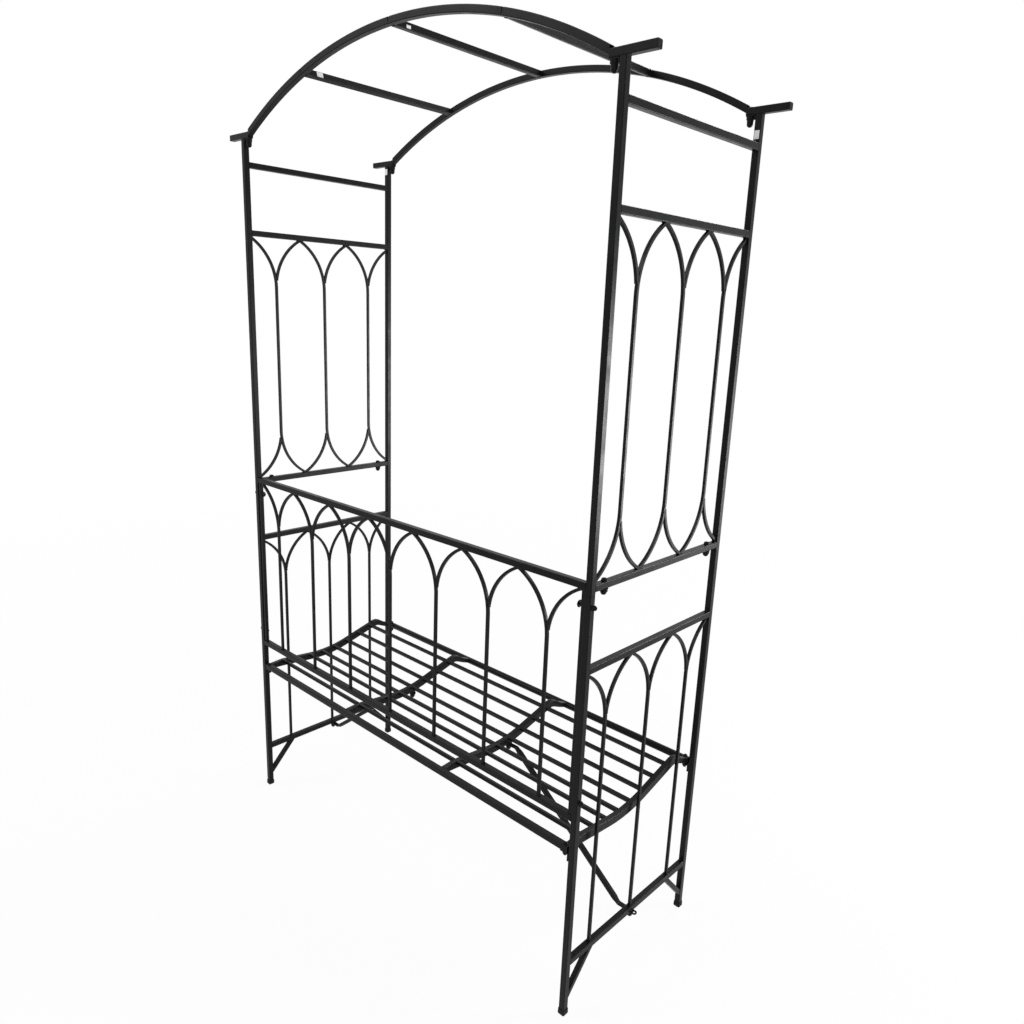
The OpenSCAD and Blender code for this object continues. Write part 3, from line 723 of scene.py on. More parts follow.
def foot_brace_pieces():
    """Struts from the posts up to the foot rail, running on into both, with beads at each end."""
    inner, run_on = HALF_D - HALF_TUBE, STRUT * 0.6
    for side_name, side in SIDES.items():
        shape = Shape()
        for end in ENDS.values():
            low = np.array((side * HALF_W, end * inner, STRUT_LOW_Z))
            high = np.array((side * HALF_W, end * (inner - STRUT_IN), FOOT_RAIL.lo[2]))
            way = unit(high - low)
            tube(shape, low - way * run_on, high + way * run_on, STRUT, np.cross(way, X))
            for spot, half in ((low, way * STRUT_BEAD / 2), (high, -way * STRUT_BEAD / 2)):
                for dx in (-1, 1):
                    bead(shape, spot + dx * X * STRUT / 2, half, sizes().small_weld, 3)
        coated(f"foot_braces_{side_name}", shape)


# ---- pointed-arch bars --------------------------------------------------------------


def arch_bend(spread, rise):
    """Radius and angle of the bend that leaves a bar upright and meets the arch's point."""
    radius = (spread**2 + rise**2) / (2 * spread)
    return radius, math.acos((radius - spread) / radius)


def pointed_bar(shape, origin, across, height, half_bay, rise, top, foot):
    """A long bar with a bend at its top, and one at its foot if foot isn't 0, and at each a short
    arc of the same radius to the other side. The arc starts where the bend has turned by
    asin((rise - weld_in) / radius), and its cut end is welded to the long bar."""
    corner, thin = sizes().bar_corner, sizes().small_weld
    radius, angle = arch_bend(half_bay, rise)
    straight = height - rise - (rise if foot else 0)
    steps = [(straight, radius, top * angle), (RUN_ON, 0, 0)]
    joints = [(top, origin + (height - rise) * Z, Z)]
    if foot:
        start = -RUN_ON * np.array((math.cos(angle), -foot * math.sin(angle))) + (0, foot * half_bay)
        path = walk([(RUN_ON, radius, foot * angle)] + steps, heading=-foot * angle, start=start)
        joints.append((foot, origin + rise * Z, -Z))
    else:
        path = walk(steps)
    sweep(shape, origin, Z, across, path, BAR, BAR, corner)
    level = rise - WELD_IN
    turned = math.asin(level / radius)
    apart = radius * (1 - math.cos(turned))
    face = np.cross(Z, across)
    for side, spring, way in joints:
        aside = -side * across
        steps = [(0, radius, -side * (angle - turned)), (RUN_ON, 0, 0)]
        arc = walk(steps, heading=-side * turned, start=(level, -side * apart))
        sweep(shape, spring, way, across, arc, BAR, BAR, corner, blunt=0.0006)
        crotch = spring + (math.sqrt(radius * BAR) + 0.002) * way
        bead(shape, crotch, face * BAR * 0.4, thin * 1.3, 3)
        tip = spring + level * way + (apart + BAR / 2) * aside
        groove = spring + (level - 0.0002) * way + (BAR / 2 + 0.0006) * aside
        bead(shape, groove, face * BAR * 0.42, thin, 3)
        seam = 0.008 * way + 0.0011 * aside
        for front in (-1, 1):
            lift = front * face * (BAR / 2 - 0.0003)
            low = tip + lift - aside * (BAR - 0.0005) + 0.001 * way
            bead(shape, low + seam, seam, thin * 0.8, 4)


def bar_row(origin, across, count, width, height, rise, tops, feet):
    """A row of pointed bars, with beads where their points and feet meet the rails. tops and
    feet say in turn to which side the bars bend."""
    shape, weld = Shape(), sizes().small_weld
    face = np.cross(Z, across)
    pitch = width / count
    for i in range(count):
        spot = origin + (i - (count - 1) / 2) * pitch * across
        foot = feet[i % len(feet)]
        pointed_bar(shape, spot, across, height, pitch / 2, rise, tops[i % len(tops)], foot)
        if not foot:
            for front in (-1, 1):
                bead(shape, spot + front * face * BAR / 2, across * BAR * 0.42, weld, 3)
    for i in range(count + 1):
        inwards = (i == 0) - (i == count)
        point = origin + ((i - count / 2) * pitch + inwards * END_BEAD_IN) * across
        half = across * (END_BEAD if inwards else POINT_BEAD)
        for level in (height, 0) if feet[0] else (height,):
            for front in (-1, 1):
                bead(shape, point + level * Z + front * face * BAR / 2, half, weld, 4)
    return shape


def bar_pieces():
    """Rows of bars between two rails of each side frame."""
    for node, low, high, rise, tops, feet in (
        ("upper_bars_left", "hem_rail", "frieze_rail", UPPER_RISE, (-1,), (1,)),
        ("upper_bars_right", "hem_rail", "frieze_rail", UPPER_RISE, (1, -1, 1), (-1,)),
        ("lower_bars_left", "foot_rail", "arm_rail", LOWER_RISE, (-1, 1, 1), (0,)),
        ("lower_bars_right", "foot_rail", "arm_rail", LOWER_RISE, (-1, -1, 1), (0,)),
    ):
        side_name = node.split("_")[-1]
        low_z = Box(f"{low}_{side_name}").hi[2]
        height = Box(f"{high}_{side_name}").lo[2] - low_z
        origin = np.array((SIDES[side_name] * HALF_W, 0, low_z))
        coated(node, bar_row(origin, Y, SIDE_BARS, 2 * HALF_D, height, rise, tops, feet))


def back_pieces():
    """Rails and uprights of the back panel, and the row of bars between them."""
    for node in ("back_top_rail", "back_bottom_rail"):
        straight_piece(node, X)
    for side_name, side in SIDES.items():
        node, shape = f"back_upright_{side_name}", Shape()
        box = Box(node)
        tube_along(shape, box, Z, box.size[0], Y)
        for z in (box.lo[2], box.hi[2]):
            spot = (box.mid[0] - side * box.size[0] / 2, box.mid[1], z)
            bead(shape, spot, Y * (box.size[1] / 2 - 0.002), sizes().small_weld, 4)
        coated(node, shape)
    low = Box("back_bottom_rail")
    height = Box("back_top_rail").lo[2] - low.hi[2]
    origin = np.array((0, low.mid[1], low.hi[2]))
    coated("back_bars", bar_row(origin, X, BACK_BARS, 2 * UPRIGHT.lo[0], height, BACK_RISE, (-1,), (0,)))


# ---- seat ---------------------------------------------------------------------------


class Contour:
    """The centreline of a seat rib: u runs from the rear rail's centre to the front, and z up.

    It falls along the rear slope, bends through the hollow, climbs along the front slope and
    bends over the crest down to the front rail."""

    def __init__(self):
        self.hollow_from = HOLLOW_IN - HOLLOW_R * math.sin(REAR_SLOPE)
        self.hollow_to = HOLLOW_IN + HOLLOW_R * math.sin(FRONT_SLOPE)
        self.rear_z = SEAT_REAR.mid[2]
        hollow_from_z = self.rear_z - self.hollow_from * math.tan(REAR_SLOPE)
        self.hollow_z = hollow_from_z - HOLLOW_R * (1 - math.cos(REAR_SLOPE))
        self.front_z = self.hollow_z + HOLLOW_R * (1 - math.cos(FRONT_SLOPE))
        self.crest_u = 2 * HALF_D - CREST_IN
        self.crest_from = self.crest_u - CREST_R * math.sin(FRONT_SLOPE)
        crest_from_z = self.front_z + (self.crest_from - self.hollow_to) * math.tan(FRONT_SLOPE)
        self.crest_z = crest_from_z - CREST_R * math.cos(FRONT_SLOPE)
        rise = SEAT_FRONT.mid[2] - self.crest_z
        far = math.hypot(CREST_IN, rise)
        self.nose = math.sqrt(far**2 - CREST_R**2)
        self.nose_slope = math.pi / 2 - math.atan2(rise, CREST_IN) - math.acos(CREST_R / far)

    def steps(self, start, stop_short):
        """Straights and bends, from start along the rear slope to stop_short before the front
        rail's centre."""
        fall = self.hollow_from / math.cos(REAR_SLOPE) - start
        climb = (self.crest_from - self.hollow_to) / math.cos(FRONT_SLOPE)
        return [
            (fall, HOLLOW_R, REAR_SLOPE + FRONT_SLOPE),
            (climb, CREST_R, -FRONT_SLOPE - self.nose_slope),
            (self.nose - stop_short, 0, 0),
        ]

    def at(self, u):
        """Height and slope of the centreline at each u, stretch by stretch."""
        stretches = [u < self.hollow_from, u < self.hollow_to, u < self.crest_from]
        in_hollow = np.clip((u - HOLLOW_IN) / HOLLOW_R, -1, 1)
        on_crest = np.clip((u - self.crest_u) / CREST_R, -1, 1)
        heights = [
            self.rear_z - u * math.tan(REAR_SLOPE),
            self.hollow_z + HOLLOW_R * (1 - np.sqrt(1 - in_hollow**2)),
            self.front_z + (u - self.hollow_to) * math.tan(FRONT_SLOPE),
        ]
        slopes = [-REAR_SLOPE + 0 * u, np.arcsin(in_hollow), FRONT_SLOPE + 0 * u]
        height = np.select(stretches, heights, self.crest_z + CREST_R * np.sqrt(1 - on_crest**2))
        return height, np.select(stretches, slopes, -np.arcsin(on_crest))


CONTOUR = Contour()
BRACED_Z = float(CONTOUR.at(np.array(HALF_D + BRACE_Y))[0])
BOSS_Z = BRACED_Z - RIB / 2 - BOSS_H


def seat_rail_pieces():
    """Square rear rail, and round front rail with rolled lips and a bore at both ends."""
    straight_piece("seat_rear_rail", X)
    shape = Shape()
    radius, length = SEAT_FRONT.size[2] / 2, SEAT_FRONT.size[0]
    bore, lip, deep = radius - WALL, 0.0006, 0.03
    reach = np.array((0, bore, bore, radius - lip, radius - lip * 0.3, radius))
    inset = np.array((deep, deep, 0, 0, lip * 0.3, lip))
    reach = np.concatenate((reach, reach[::-1]))
    places = np.concatenate((inset, length - inset[::-1]))
    loft(shape, (SEAT_FRONT.lo[0], SEAT_FRONT.mid[1], SEAT_FRONT.mid[2]), X, reach, places, circle(48))
    coated("seat_front_rail", shape)


def rib_pieces():
    """Tubes along the contour, lifted and deepened between the rails by a ramp at both ends, with
    beads at both ends. The inner two have a boss under them for the brace's stud."""
    weld = sizes().small_weld
    start, short = HALF_TUBE - 0.0005, SEAT_FRONT.size[2] / 2 - 0.0012
    spot = (start * math.cos(REAR_SLOPE), -start * math.sin(REAR_SLOPE))
    points, headings = walk(CONTOUR.steps(start, short), -REAR_SLOPE, spot, math.radians(1.5), 0.008)
    before_nose = np.clip((CONTOUR.crest_u + RIB_RAMP - points[:, 0]) / RIB_RAMP, 0, 1)
    share = before_nose * np.clip(points[:, 0] / FIRST_SLAT, 0, 1)
    upward = np.stack((-np.sin(headings), np.cos(headings)), 1)
    path = (points + RIB_LIFT * share[:, None] * upward, headings)
    underside = BRACED_Z + RIB_LIFT - (RIB + RIB_GROWTH) / 2
    boss_reach = (RIB / 2 - 0.0008, RIB / 2 - 0.0002, RIB / 2, RIB / 2)
    boss_height = (0, 0.0002, 0.0008, underside + 0.001 - BOSS_Z)
    rear_y, rear_z = SEAT_REAR.hi[1], CONTOUR.rear_z
    nose_y, nose_z = SEAT_FRONT.lo[1] + 0.0006, SEAT_FRONT.mid[2] + 0.004
    for node, x in (
        ("seat_end_left", -RIB_X),
        ("seat_rib_left", -INNER_RIB_X),
        ("seat_rib_right", INNER_RIB_X),
        ("seat_end_right", RIB_X),
    ):
        shape = Shape()
        origin = (x, SEAT_REAR.mid[1], rear_z)
        sweep(shape, origin, Y, Z, path, RIB, RIB + RIB_GROWTH * share, sizes().tube_corner, WALL)
        if abs(x) == INNER_RIB_X:
            loft(shape, (x, BRACE_Y, BOSS_Z), Z, boss_reach, boss_height, square(0.0018), ref=X)
        for side_x in (x - RIB / 2, x + RIB / 2):
            bead(shape, (side_x, rear_y, rear_z - 0.0005), Z * 0.0045, weld, 3)
            bead(shape, (side_x, nose_y, nose_z), Z * 0.004, weld, 3)
        for dz in (-1, 1):
            bead(shape, (x, rear_y, rear_z + dz * RIB / 2), X * 0.005, weld, 4)
        coated(node, shape)


def slat_pieces():
    """Slats in three lengths between the ribs, at the ribs' tops and each turned to the contour,
    with a bead on both sides of each end."""
    shape = Shape()
    u = FIRST_SLAT + np.arange(SLATS) * SLAT_PITCH
    outer, inner, mid = RIB_X - RIB / 2, INNER_RIB_X + RIB / 2, INNER_RIB_X - RIB / 2
    for along, z, slope in zip(u, *CONTOUR.at(u)):
        up = np.array((0, -math.sin(slope), math.cos(slope)))
        fore = np.cross(X, up)
        middle = np.array((0, along - HALF_D, z)) + up * (RIB + SLAT) / 2
        for start, stop in ((-outer, -inner), (-mid, mid), (inner, outer)):
            path = walk([(stop - start + 0.0002, 0, 0)], start=(start - 0.0001, 0))
            sweep(shape, middle, X, up, path, SLAT, SLAT, SLAT_CORNER, blunt=0.0002)
            for x in (start, stop):
                for side in (-1, 1):
                    bead(shape, middle + side * fore * SLAT / 2 + x * X, up * 0.003, 0.0009, 3)
    coated("seat_slats", shape)


def bracket_pieces():
    """Angles on the posts that carry the ends of the seat rails, with a bead down both sides."""
    shape = Shape()
    face_x, half = HALF_W - HALF_TUBE, BRACKET_T / 2
    reach = face_x - SEAT_BOLT_X + BRACKET_PAST_BOLT - half
    for _, side, end in CORNERS:
        underside = (SEAT_REAR if end == REAR else SEAT_FRONT).lo[2]
        corner = (side * (face_x - half), end * HALF_D, underside - half)
        angle_strip(shape, corner, -side * X, reach, BRACKET_DROP - half, BRACKET_W, BRACKET_T)
        for dy in (-1, 1):
            y = end * HALF_D + dy * (HALF_TUBE - 0.0006)
            bead(shape, (side * face_x, y, underside - BRACKET_T - 0.006), -Z * 0.006, sizes().small_weld)
    coated("seat_brackets", shape)


# ---- diagonal seat braces -----------------------------------------------------------


def eye(shape, spot, out, thick, reach, hole):
    """Drilled end of a flattened tube: round towards out and square behind, a closed ring whose
    outer reach is r for the round half and r over the larger of |cos| and |sin| behind."""
    columns, rim = 48, 0.0004
    ways, _ = ring(columns)
    outer = np.where(ways[:, 0] >= 0, reach, reach / np.abs(ways).max(axis=1))
    inner = np.full(columns, hole)
    reaches = np.stack((inner, inner + rim, outer - rim, outer, outer, outer - rim, inner + rim, inner))
    levels = np.array((-1, -1, -1, -1, 1, 1, 1, 1)) * thick / 2
    levels[[0, 3]] += rim
    levels[[4, 7]] -= rim
    way = ways[:, :1] * out + ways[:, 1:] * Y
    points = np.asarray(spot) + reaches[..., None] * way + levels[:, None, None] * Z
    if out[0] < 0:
        points = points[:, ::-1]
    first = shape.add_points(points)
    quads = grid_quads(len(levels), columns, True)
    a, b, c, d = np.moveaxis(points.reshape(-1, 3)[quads], 2, 0)
    shape.add_faces(quads + first, np.cross(c - a, d - b)[..., None, :])


def brace_pieces():
    """A tube from the inner rib's boss down to the foot rail, flattened and bent level at both
    ends. The section turns from strip to tube by a smooth step 3t^2 - 2t^3 of the distance."""
    half_t, half_w = STRIP_T / 2, STRIP_W / 2
    top = np.array((INNER_RIB_X + BRACE_TOP_OUT, BOSS_Z - half_t))
    foot = np.array((HALF_W - BRACE_FOOT_IN, FOOT_RAIL.lo[2] - half_t))
    run = foot - top
    slope = -math.atan2(run[1], run[0])
    cut_back = BRACE_BEND * math.tan(slope / 2)
    start_x, eye_x = INNER_RIB_X - STRIP_ROUND, HALF_W + STRIP_REACH - half_w
    level_top, level_foot = top[0] - start_x, eye_x - half_w - foot[0]
    steps = [
        (level_top - cut_back, BRACE_BEND, -slope),
        (float(np.hypot(*run)) - 2 * cut_back, BRACE_BEND, slope),
        (level_foot - cut_back, 0, 0),
    ]
    path = walk(steps, start=(start_x, top[1]), fine=math.radians(5), spacing=0.0022)
    gone = np.concatenate(((0,), np.cumsum(np.hypot(*np.diff(path[0], axis=0).T))))
    sloping = np.minimum(gone - level_top, gone[-1] - gone - level_foot) - 0.003
    t = np.clip(sloping / BRACE_MORPH, 0, 1)
    t = t * t * (3 - 2 * t)
    before_round = np.maximum(half_w - gone - 0.0001, 0)
    strip_w = 2 * np.sqrt(np.maximum(half_w**2 - before_round**2, 1e-7))
    width = strip_w + (BRACE - strip_w) * t
    depth = STRIP_T + (BRACE - STRIP_T) * t
    corner = 0.0009 + 0.0008 * t
    for side_name, side in SIDES.items():
        shape = Shape()
        sweep(shape, (0, BRACE_Y, 0), side * X, Z, path, width, depth, corner)
        eye(shape, (side * eye_x, BRACE_Y, foot[1]), side * X, STRIP_T, half_w, BOLT_D / 2 + 0.0003)
        coated(f"brace_{side_name}", shape)


# ---- roof ---------------------------------------------------------------------------


def roof_spot(angle, sink=0.0):
    """A place on the roof's circle at an angle from upright, moved inwards by sink, and the
    directions outwards and aside there."""
    out = np.array((math.sin(angle), 0, math.cos(angle)))
    aside = np.array((math.cos(angle), 0, -math.sin(angle)))
    return Z * ROOF_CENTRE_Z + (ROOF_R - sink) * out, out, aside


def roof_pieces():
    """Each segment is a bend of the roof radius; its cuts lean open at the joints, and stand
    upright at the stubs, where beads lie over and under them."""
    stops = (-END_ANGLE, -RUNG_ANGLE, 0.0, RUNG_ANGLE, END_ANGLE)
    upright = math.tan(END_ANGLE)
    for end_name, end in ENDS.items():
        for number, low, high in zip((1, 2, 3, 4), stops, stops[1:]):
            shape = Shape()
            start = (ROOF_R * math.sin(low), ROOF_R * math.cos(low))
            path = walk([(0, ROOF_R, low - high)], heading=-low, start=start, fine=math.radians(0.6))
            near = (NOTCH_SLOPE, -HALF_TUBE) if number > 1 else (upright, 0.0)
            far = (-NOTCH_SLOPE, -HALF_TUBE) if number < 4 else (-upright, 0.0)
            origin, corner = (0, end * HALF_D, ROOF_CENTRE_Z), sizes().tube_corner
            sweep(shape, origin, X, Z, path, TUBE, TUBE, corner, WALL, slant=(near, far))
            if number in (1, 4):
                x = ARC_END_X if number == 4 else -ARC_END_X
                for z in (STUB.hi[2], STUB.lo[2] + 0.0045):
                    bead(shape, (x, end * HALF_D, z), Y * BEAD_REACH, sizes().weld)
            coated(f"roof_{end_name}_{number}", shape)


def rung_pieces():
    """Tubes between the roof arcs, square to them, with a bead on each face at both ends."""
    inner = HALF_D - HALF_TUBE
    for place_name, angle in (("left", -RUNG_ANGLE), ("middle", 0.0), ("right", RUNG_ANGLE)):
        shape = Shape()
        middle, out, aside = roof_spot(angle)
        tube(shape, middle - Y * inner, middle + Y * inner, up=out)
        for end in ENDS.values():
            for way, across in ((out, aside), (-out, aside), (aside, out), (-aside, out)):
                spot = middle + end * Y * inner + way * (HALF_TUBE - 0.0002)
                bead(shape, spot, across * 0.0045, sizes().small_weld, 4)
        coated(f"rung_{place_name}", shape)


def plug_piece():
    """End plugs: a ribbed shank in the tube and a flange with a shallow dish in its face."""
    shape = Shape()
    face, groove = HALF_TUBE, HALF_TUBE - WALL - 0.0008
    rib = groove + 0.0006
    reach = (groove - 0.0004, groove, groove, rib, groove, rib, groove, groove,
             face - 0.0003, face, face, face - 0.0002, face - 0.0008, face - 0.0022, face - 0.0026, 0)
    height = (-0.015, -0.0145, -0.011, -0.010, -0.009, -0.007, -0.006, 0,
              0, 0.0003, 0.0009, 0.0013, 0.0015, 0.0015, 0.0011, 0.0011)
    for _, side, end in CORNERS:
        origin = (side * STUB.hi[0], end * HALF_D, STUB.mid[2])
        loft(shape, origin, side * X, reach, height, square(sizes().tube_corner), ref=Y)
    place("stub_plugs_moulded", shape, plastic_black(), "black_plastic", "stub_plugs")


# ---- fasteners, labels and feet -----------------------------------------------------


def bolt_head(shape, spot, axis, head):
    """Button head with a hexagon socket, and its shank below: round rows outside, hexagonal rows
    down the socket. A stem holds the head off its seat."""
    r, h, stem = head[0] / 2, head[1], head[2]
    reach = (0, BOLT_D / 2, BOLT_D / 2, r - 0.0003, r, r, r * 0.97, r * 0.86, r * 0.68,
             SOCKET + 0.0008, SOCKET + 0.0002, SOCKET, SOCKET, 0)
    rows = np.array((0, 0, 0.0003, 0.0003 + h * 0.15, h * 0.45, h * 0.75, h * 0.95, h,
                     h, h - 0.0002, h - 0.0017, h - 0.0021))
    height = np.concatenate(((-0.004, -0.004), stem + rows))
    mix = (0,) * 10 + (0.6, 1, 1, 1)
    loft(shape, spot, axis, reach, height, hexagon(mix))


def cap_nut(shape, spot, axis, scale=1.0):
    """Cap nut: flange, hexagon with chamfered corners, groove and dome."""
    flat, flange, dome = NUT_FLAT / 2, 0.65 * NUT_FLAT, 0.45 * NUT_FLAT
    turn = np.linspace(0, math.pi / 2, 7)
    reach = (0, flange - 0.0004, flange, flange, flange - 0.0005, flat * 1.02, flat, flat, flat * 0.97)
    height = (0, 0, 0.0003, COLLAR_T - 0.0004, COLLAR_T, COLLAR_T, COLLAR_T + 0.0001,
              NUT_H - 0.0003, NUT_H)
    mix = (0, 0, 0, 0, 0, 1, 1, 1, 0.4) + (0,) * 7
    reach = np.concatenate((reach, dome * np.cos(turn)))
    height = np.concatenate((height, NUT_H + 0.0004 + (dome - 0.0004) * np.sin(turn)))
    loft(shape, spot, axis, scale * reach, scale * height, hexagon(mix))


def long_cap(shape, spot, axis):
    """Long cap: a collar between round and six-sided, then a round body tapered to a domed end."""
    top, end = CAP_TOP_D / 2, CAP_END_D / 2
    turn = np.linspace(0, math.pi / 2, 8)
    reach = np.concatenate(((0, top - 0.0004, top, top, top - 0.0005, top - 0.0010), end * np.cos(turn)))
    collar = (0, 0, 0.0004, 0.0060, 0.0066, 0.0070)
    height = np.concatenate((collar, CAP_H - end + end * np.sin(turn)))
    mix = (0.5, 0.5, 0.5, 0.5, 0.3) + (0,) * 9
    loft(shape, spot, axis, reach, height, hexagon(mix))


def bolt_places():
    """Seat of each bolt head, its outward axis, the thickness that it holds together, and its
    kind of head."""
    back_x = UPRIGHT.lo[0]
    for side in SIDES.values():
        for end in ENDS.values():
            yield (side * HALF_W, end * SEAM_BOLT_Y, HEM_Z + HALF_TUBE), Z, TUBE, SEAM_HEAD
        for z, head in BACK_BOLTS:
            yield (side * back_x, -HALF_D, z), -side * X, HALF_W + HALF_TUBE - back_x, head
        for y, rail in ((-HALF_D, SEAT_REAR), (HALF_D, SEAT_FRONT)):
            yield (side * SEAT_BOLT_X, y, rail.hi[2]), Z, rail.size[2] + BRACKET_T, SEAT_HEAD


def fastener_pieces():
    """Bolts, cap nuts on their far ends, studs of the braces, and long caps under the stubs."""
    heads, nuts = Shape(), Shape()
    shank = BOLT_D / 2
    for spot, axis, grip, head in bolt_places():
        bolt_head(heads, spot, axis, head)
        cap_nut(nuts, np.array(spot) - grip * axis, -axis, LARGE_NUT if head is SEAM_HEAD else 1.0)
    for side in SIDES.values():
        for x, z in ((HALF_W, FOOT_RAIL.lo[2]), (INNER_RIB_X, BOSS_Z)):
            under = np.array((side * x, BRACE_Y, z - STRIP_T))
            cap_nut(nuts, under, -Z, LARGE_NUT)
            loft(heads, under - 0.003 * Z, Z, (0, shank, shank, 0), (0, 0, 0.008, 0.008), circle(16))
        for end in ENDS.values():
            x, y = side * ROOF_BOLT_X, end * HALF_D
            bolt_head(heads, (x, y, STUB.hi[2]), Z, LOW_HEAD)
            long_cap(nuts, (x, y, STUB.lo[2] - ANGLE_T), -Z)
    place("bolts_turned", heads, fastener_black(), "black_fasteners", "bolts")
    place("nuts_capped", nuts, fastener_black(), "black_fasteners", "dome_nuts")


def label_piece():
    """Blank stickers: thin sheets on the rear faces of the two front posts and on the right faces
    of two rungs."""
    shape = Shape()
    lift = HALF_TUBE + LABEL_OFF

    def sheet(spot, along, out, length, width):
        path = walk([(length, 0, 0)], start=(-length / 2, 0))
        sweep(shape, spot, along, out, path, width, LABEL_T, LABEL_EDGE)

    for side, drop in POST_LABELS:
        sheet((side * HALF_W, HALF_D - lift, POST_TOP - drop), Z, -Y, POST_LABEL_L, LABEL_W)
    for angle, length, width, sink in RUNG_LABELS:
        middle, _, aside = roof_spot(angle, sink)
        sheet(middle + lift * aside + RUNG_LABEL_Y * Y, Y, aside, length, width)
    place("blank_labels", shape, label_paper(), None)


def foot_cap_piece():
    """Moulded cups: rounded base, upright wall, rolled rim, and the hollow that holds the post."""
    shape, box = Shape(), Box("foot_caps")
    outer, hole = box.hi[0] - HALF_W, HALF_TUBE + 0.0001
    high, floor = box.hi[2], POST.lo[2]
    reach = (outer - 0.0030, outer - 0.0020, outer - 0.0007, outer - 0.0001, outer, outer - 0.0003,
             hole + 0.0004, hole, hole)
    height = (0, 0.0001, 0.0008, 0.0022, 0.0035, high - 0.0004, high, high - 0.0005, floor)
    for _, side, end in CORNERS:
        loft(shape, (side * HALF_W, end * HALF_D, 0), Z, reach, height, square(0.0026), ref=X)
    place("foot_caps_moulded", shape, plastic_black(), "black_plastic", "foot_caps")


# ---- stage --------------------------------------------------------------------------


def seen_directly(n):
    """1 on camera, glossy and transmission rays, 0 on others."""
    path = n.add("ShaderNodeLightPath").outputs
    both = n.calc("ADD", path["Is Camera Ray"], path["Is Glossy Ray"])
    return n.calc("ADD", both, path["Is Transmission Ray"], use_clamp=True)


def add_floor():
    """A disc in rings: radius r, angle t. It is lit, and partly white to the camera, so that it
    keeps the object's shadow and fades into the surroundings far away."""
    thick, far_edge = 0.02, 30.0
    shape = Shape()
    reach = (0, far_edge, far_edge, 10.0, 4.0, 1.5, 0)
    loft(shape, -thick * Z, Z, reach, (0, 0) + (thick,) * 5, circle(64))
    floor = new_object("floor", shape.mesh("floor"))
    material = bpy.data.materials.new("pale_floor")
    floor.data.materials.append(material)
    n = Nodes(material)
    where = n.add("ShaderNodeTexCoord").outputs["Object"]
    far = n.add("ShaderNodeVectorMath", {0: where}, operation="LENGTH").outputs["Value"]
    grain = n.spread(n.noise(where, 60.0, 3.0), 0.3, 0.7, 0.98, 1.0)
    colour = n.blend(grain, BLACK, shade(finish().floor))
    lit = n.add("ShaderNodeBsdfDiffuse", {"Color": colour})
    white = n.add("ShaderNodeEmission", {"Color": WHITE, "Strength": 1.0})
    share = n.calc("MULTIPLY", seen_directly(n), n.spread(far, 1.2, 5.0, 0.94, 1.0))
    n.add("ShaderNodeOutputMaterial", {"Surface": n.blend_shaders(share, lit, white)})


def add_world():
    """White surroundings to the camera and in reflections, and dimmer as a light."""
    world = bpy.data.worlds.new("white_surroundings")
    bpy.context.scene.world = world
    n = Nodes(world)
    dim = n.add("ShaderNodeBackground", {"Color": WHITE, "Strength": 0.45})
    white = n.add("ShaderNodeBackground", {"Color": WHITE, "Strength": 1.0})
    n.add("ShaderNodeOutputWorld", {"Surface": n.blend_shaders(seen_directly(n), dim, white)})


def stand(thing, spot, side, top, back):
    """Puts a lamp or camera at a spot, with its x, y and z axes along side, top and back."""
    axes = np.stack((side, top, back), 1)
    thing.matrix_world = Matrix.Translation(spot) @ Matrix(axes.tolist()).to_4x4()


def lamp(name, spot, target, size, power):
    """Soft rectangular lamp that faces the target."""
    light = bpy.data.lights.new(name, "AREA")
    light.shape = "RECTANGLE"
    light.size, light.size_y = size
    light.energy = power
    back = unit(np.subtract(spot, target))
    side = unit(np.cross(Z, back))
    stand(new_object(name, light), spot, side, np.cross(back, side), back)


def add_lamps():
    middle = (0.0, 0.0, 1.0)
    lamp("key_softbox", (-4.2, -4.0, 5.6), middle, (3.0, 2.4), 180.0)
    lamp("back_softbox", (0.2, 6.2, 5.4), middle, (2.6, 1.6), 220.0)
    lamp("low_card", (2.6, 2.5, 0.9), (0.6, -0.2, 1.3), (0.7, 1.1), 85.0)


def add_camera():
    """The camera stands off the right front corner of the back, looks slightly down and is
    turned a little about its own axis."""
    camera = bpy.data.cameras.new("camera")
    camera.sensor_width, camera.lens = 36.0, 28.13
    camera.clip_start, camera.clip_end = 0.05, 100.0
    azimuth, down, roll = math.radians(42.66), math.radians(14.20), math.radians(2.26)
    level = np.array((math.cos(azimuth), math.sin(azimuth), 0))
    ahead = math.cos(down) * np.array((-math.sin(azimuth), math.cos(azimuth), 0)) - math.sin(down) * Z
    upright = np.cross(level, ahead)
    side = level * math.cos(roll) + upright * math.sin(roll)
    top = upright * math.cos(roll) - level * math.sin(roll)
    holder = new_object("camera", camera)
    stand(holder, (1.5007, -1.4308, 1.5301), side, top, -ahead)
    bpy.context.scene.camera = holder
    bpy.context.scene.view_settings.view_transform = "Standard"


# ---- operators and panel ------------------------------------------------------------


class ARCH_OT_side_frames(bpy.types.Operator):
    """Posts, rails, foot struts and pointed-arch bars of the side frames"""

    bl_idname = "arch.side_frames"
    bl_label = "Side Frames"

    def execute(self, context):
        post_pieces()
        rail_pieces()
        foot_brace_pieces()
        bar_pieces()
        return {"FINISHED"}


class ARCH_OT_back_panel(bpy.types.Operator):
    """Rails, uprights and pointed-arch bars of the back panel"""

    bl_idname = "arch.back_panel"
    bl_label = "Back Panel"

    def execute(self, context):
        back_pieces()
        return {"FINISHED"}


class ARCH_OT_seat(bpy.types.Operator):
    """Seat rails, contoured ribs, slats, brackets and diagonal braces"""

    bl_idname = "arch.seat"
    bl_label = "Seat"

    def execute(self, context):
        seat_rail_pieces()
        rib_pieces()
        slat_pieces()
        bracket_pieces()
        brace_pieces()
        return {"FINISHED"}


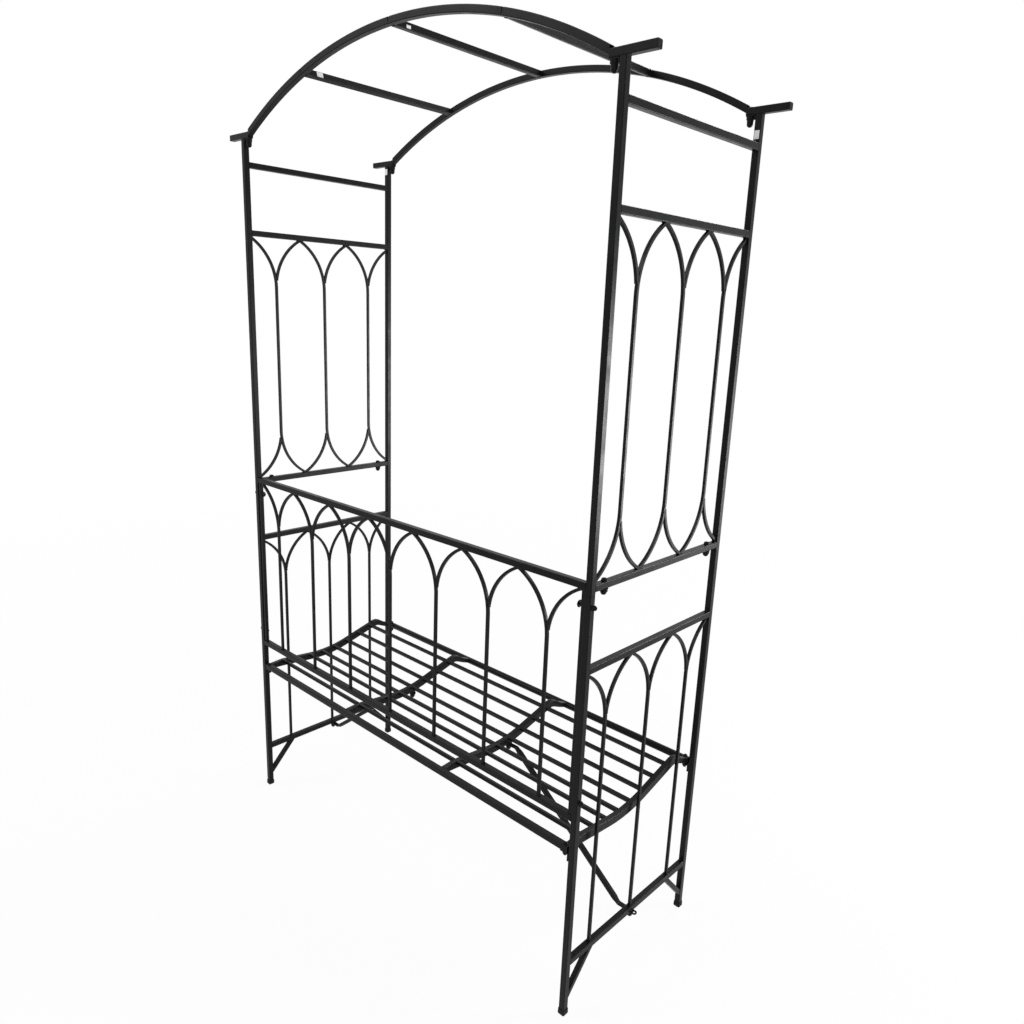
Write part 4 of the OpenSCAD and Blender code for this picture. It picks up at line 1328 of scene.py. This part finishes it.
class ARCH_OT_roof(bpy.types.Operator):
    """Roof segments, rungs, and the stubs with their plugs"""

    bl_idname = "arch.roof"
    bl_label = "Roof"

    def execute(self, context):
        roof_pieces()
        rung_pieces()
        for corner, _, _ in CORNERS:
            straight_piece(f"stub_{corner}", X)
        plug_piece()
        return {"FINISHED"}


class ARCH_OT_fittings(bpy.types.Operator):
    """Bolts, cap nuts, blank labels, foot caps, and the finish of the joint sleeves"""

    bl_idname = "arch.fittings"
    bl_label = "Fittings"

    def execute(self, context):
        fastener_pieces()
        label_piece()
        foot_cap_piece()
        for node in ("roof_sleeves", "post_sleeves"):
            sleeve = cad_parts[node]
            sleeve.data.materials.clear()
            sleeve.data.materials.append(sleeve_coat())
        return {"FINISHED"}


class ARCH_OT_stage(bpy.types.Operator):
    """Pale floor, soft lamps, white surroundings and the camera"""

    bl_idname = "arch.stage"
    bl_label = "Stage"

    def execute(self, context):
        add_floor()
        add_world()
        add_lamps()
        add_camera()
        return {"FINISHED"}


class ARCH_PT_panel(bpy.types.Panel):
    """Lists the pieces, sizes and finishes of the arch"""

    bl_label = "Trellis Arch"
    bl_idname = "ARCH_PT_panel"
    bl_space_type = "VIEW_3D"
    bl_region_type = "UI"
    bl_category = "Trellis Arch"

    def draw(self, context):
        for step in STEPS:
            self.layout.operator(step.bl_idname)
        for group in (context.scene.arch_sizes, context.scene.arch_finish):
            column = self.layout.column()
            for name in group.bl_rna.properties.keys():
                if name not in ("rna_type", "name"):
                    column.prop(group, name)


STEPS = (
    ARCH_OT_side_frames,
    ARCH_OT_back_panel,
    ARCH_OT_seat,
    ARCH_OT_roof,
    ARCH_OT_fittings,
    ARCH_OT_stage,
)
CLASSES = (ArchSizes, ArchFinish) + STEPS + (ARCH_PT_panel,)


def register():
    for cls in CLASSES:
        bpy.utils.register_class(cls)
    bpy.types.Scene.arch_sizes = PointerProperty(type=ArchSizes)
    bpy.types.Scene.arch_finish = PointerProperty(type=ArchFinish)


def unregister():
    del bpy.types.Scene.arch_finish
    del bpy.types.Scene.arch_sizes
    for cls in reversed(CLASSES):
        bpy.utils.unregister_class(cls)


def main():
    register()
    for step in STEPS:
        group, name = step.bl_idname.split(".")
        getattr(getattr(bpy.ops, group), name)()
    bpy.context.view_layer.update()


if __name__ == "__main__":
    main()
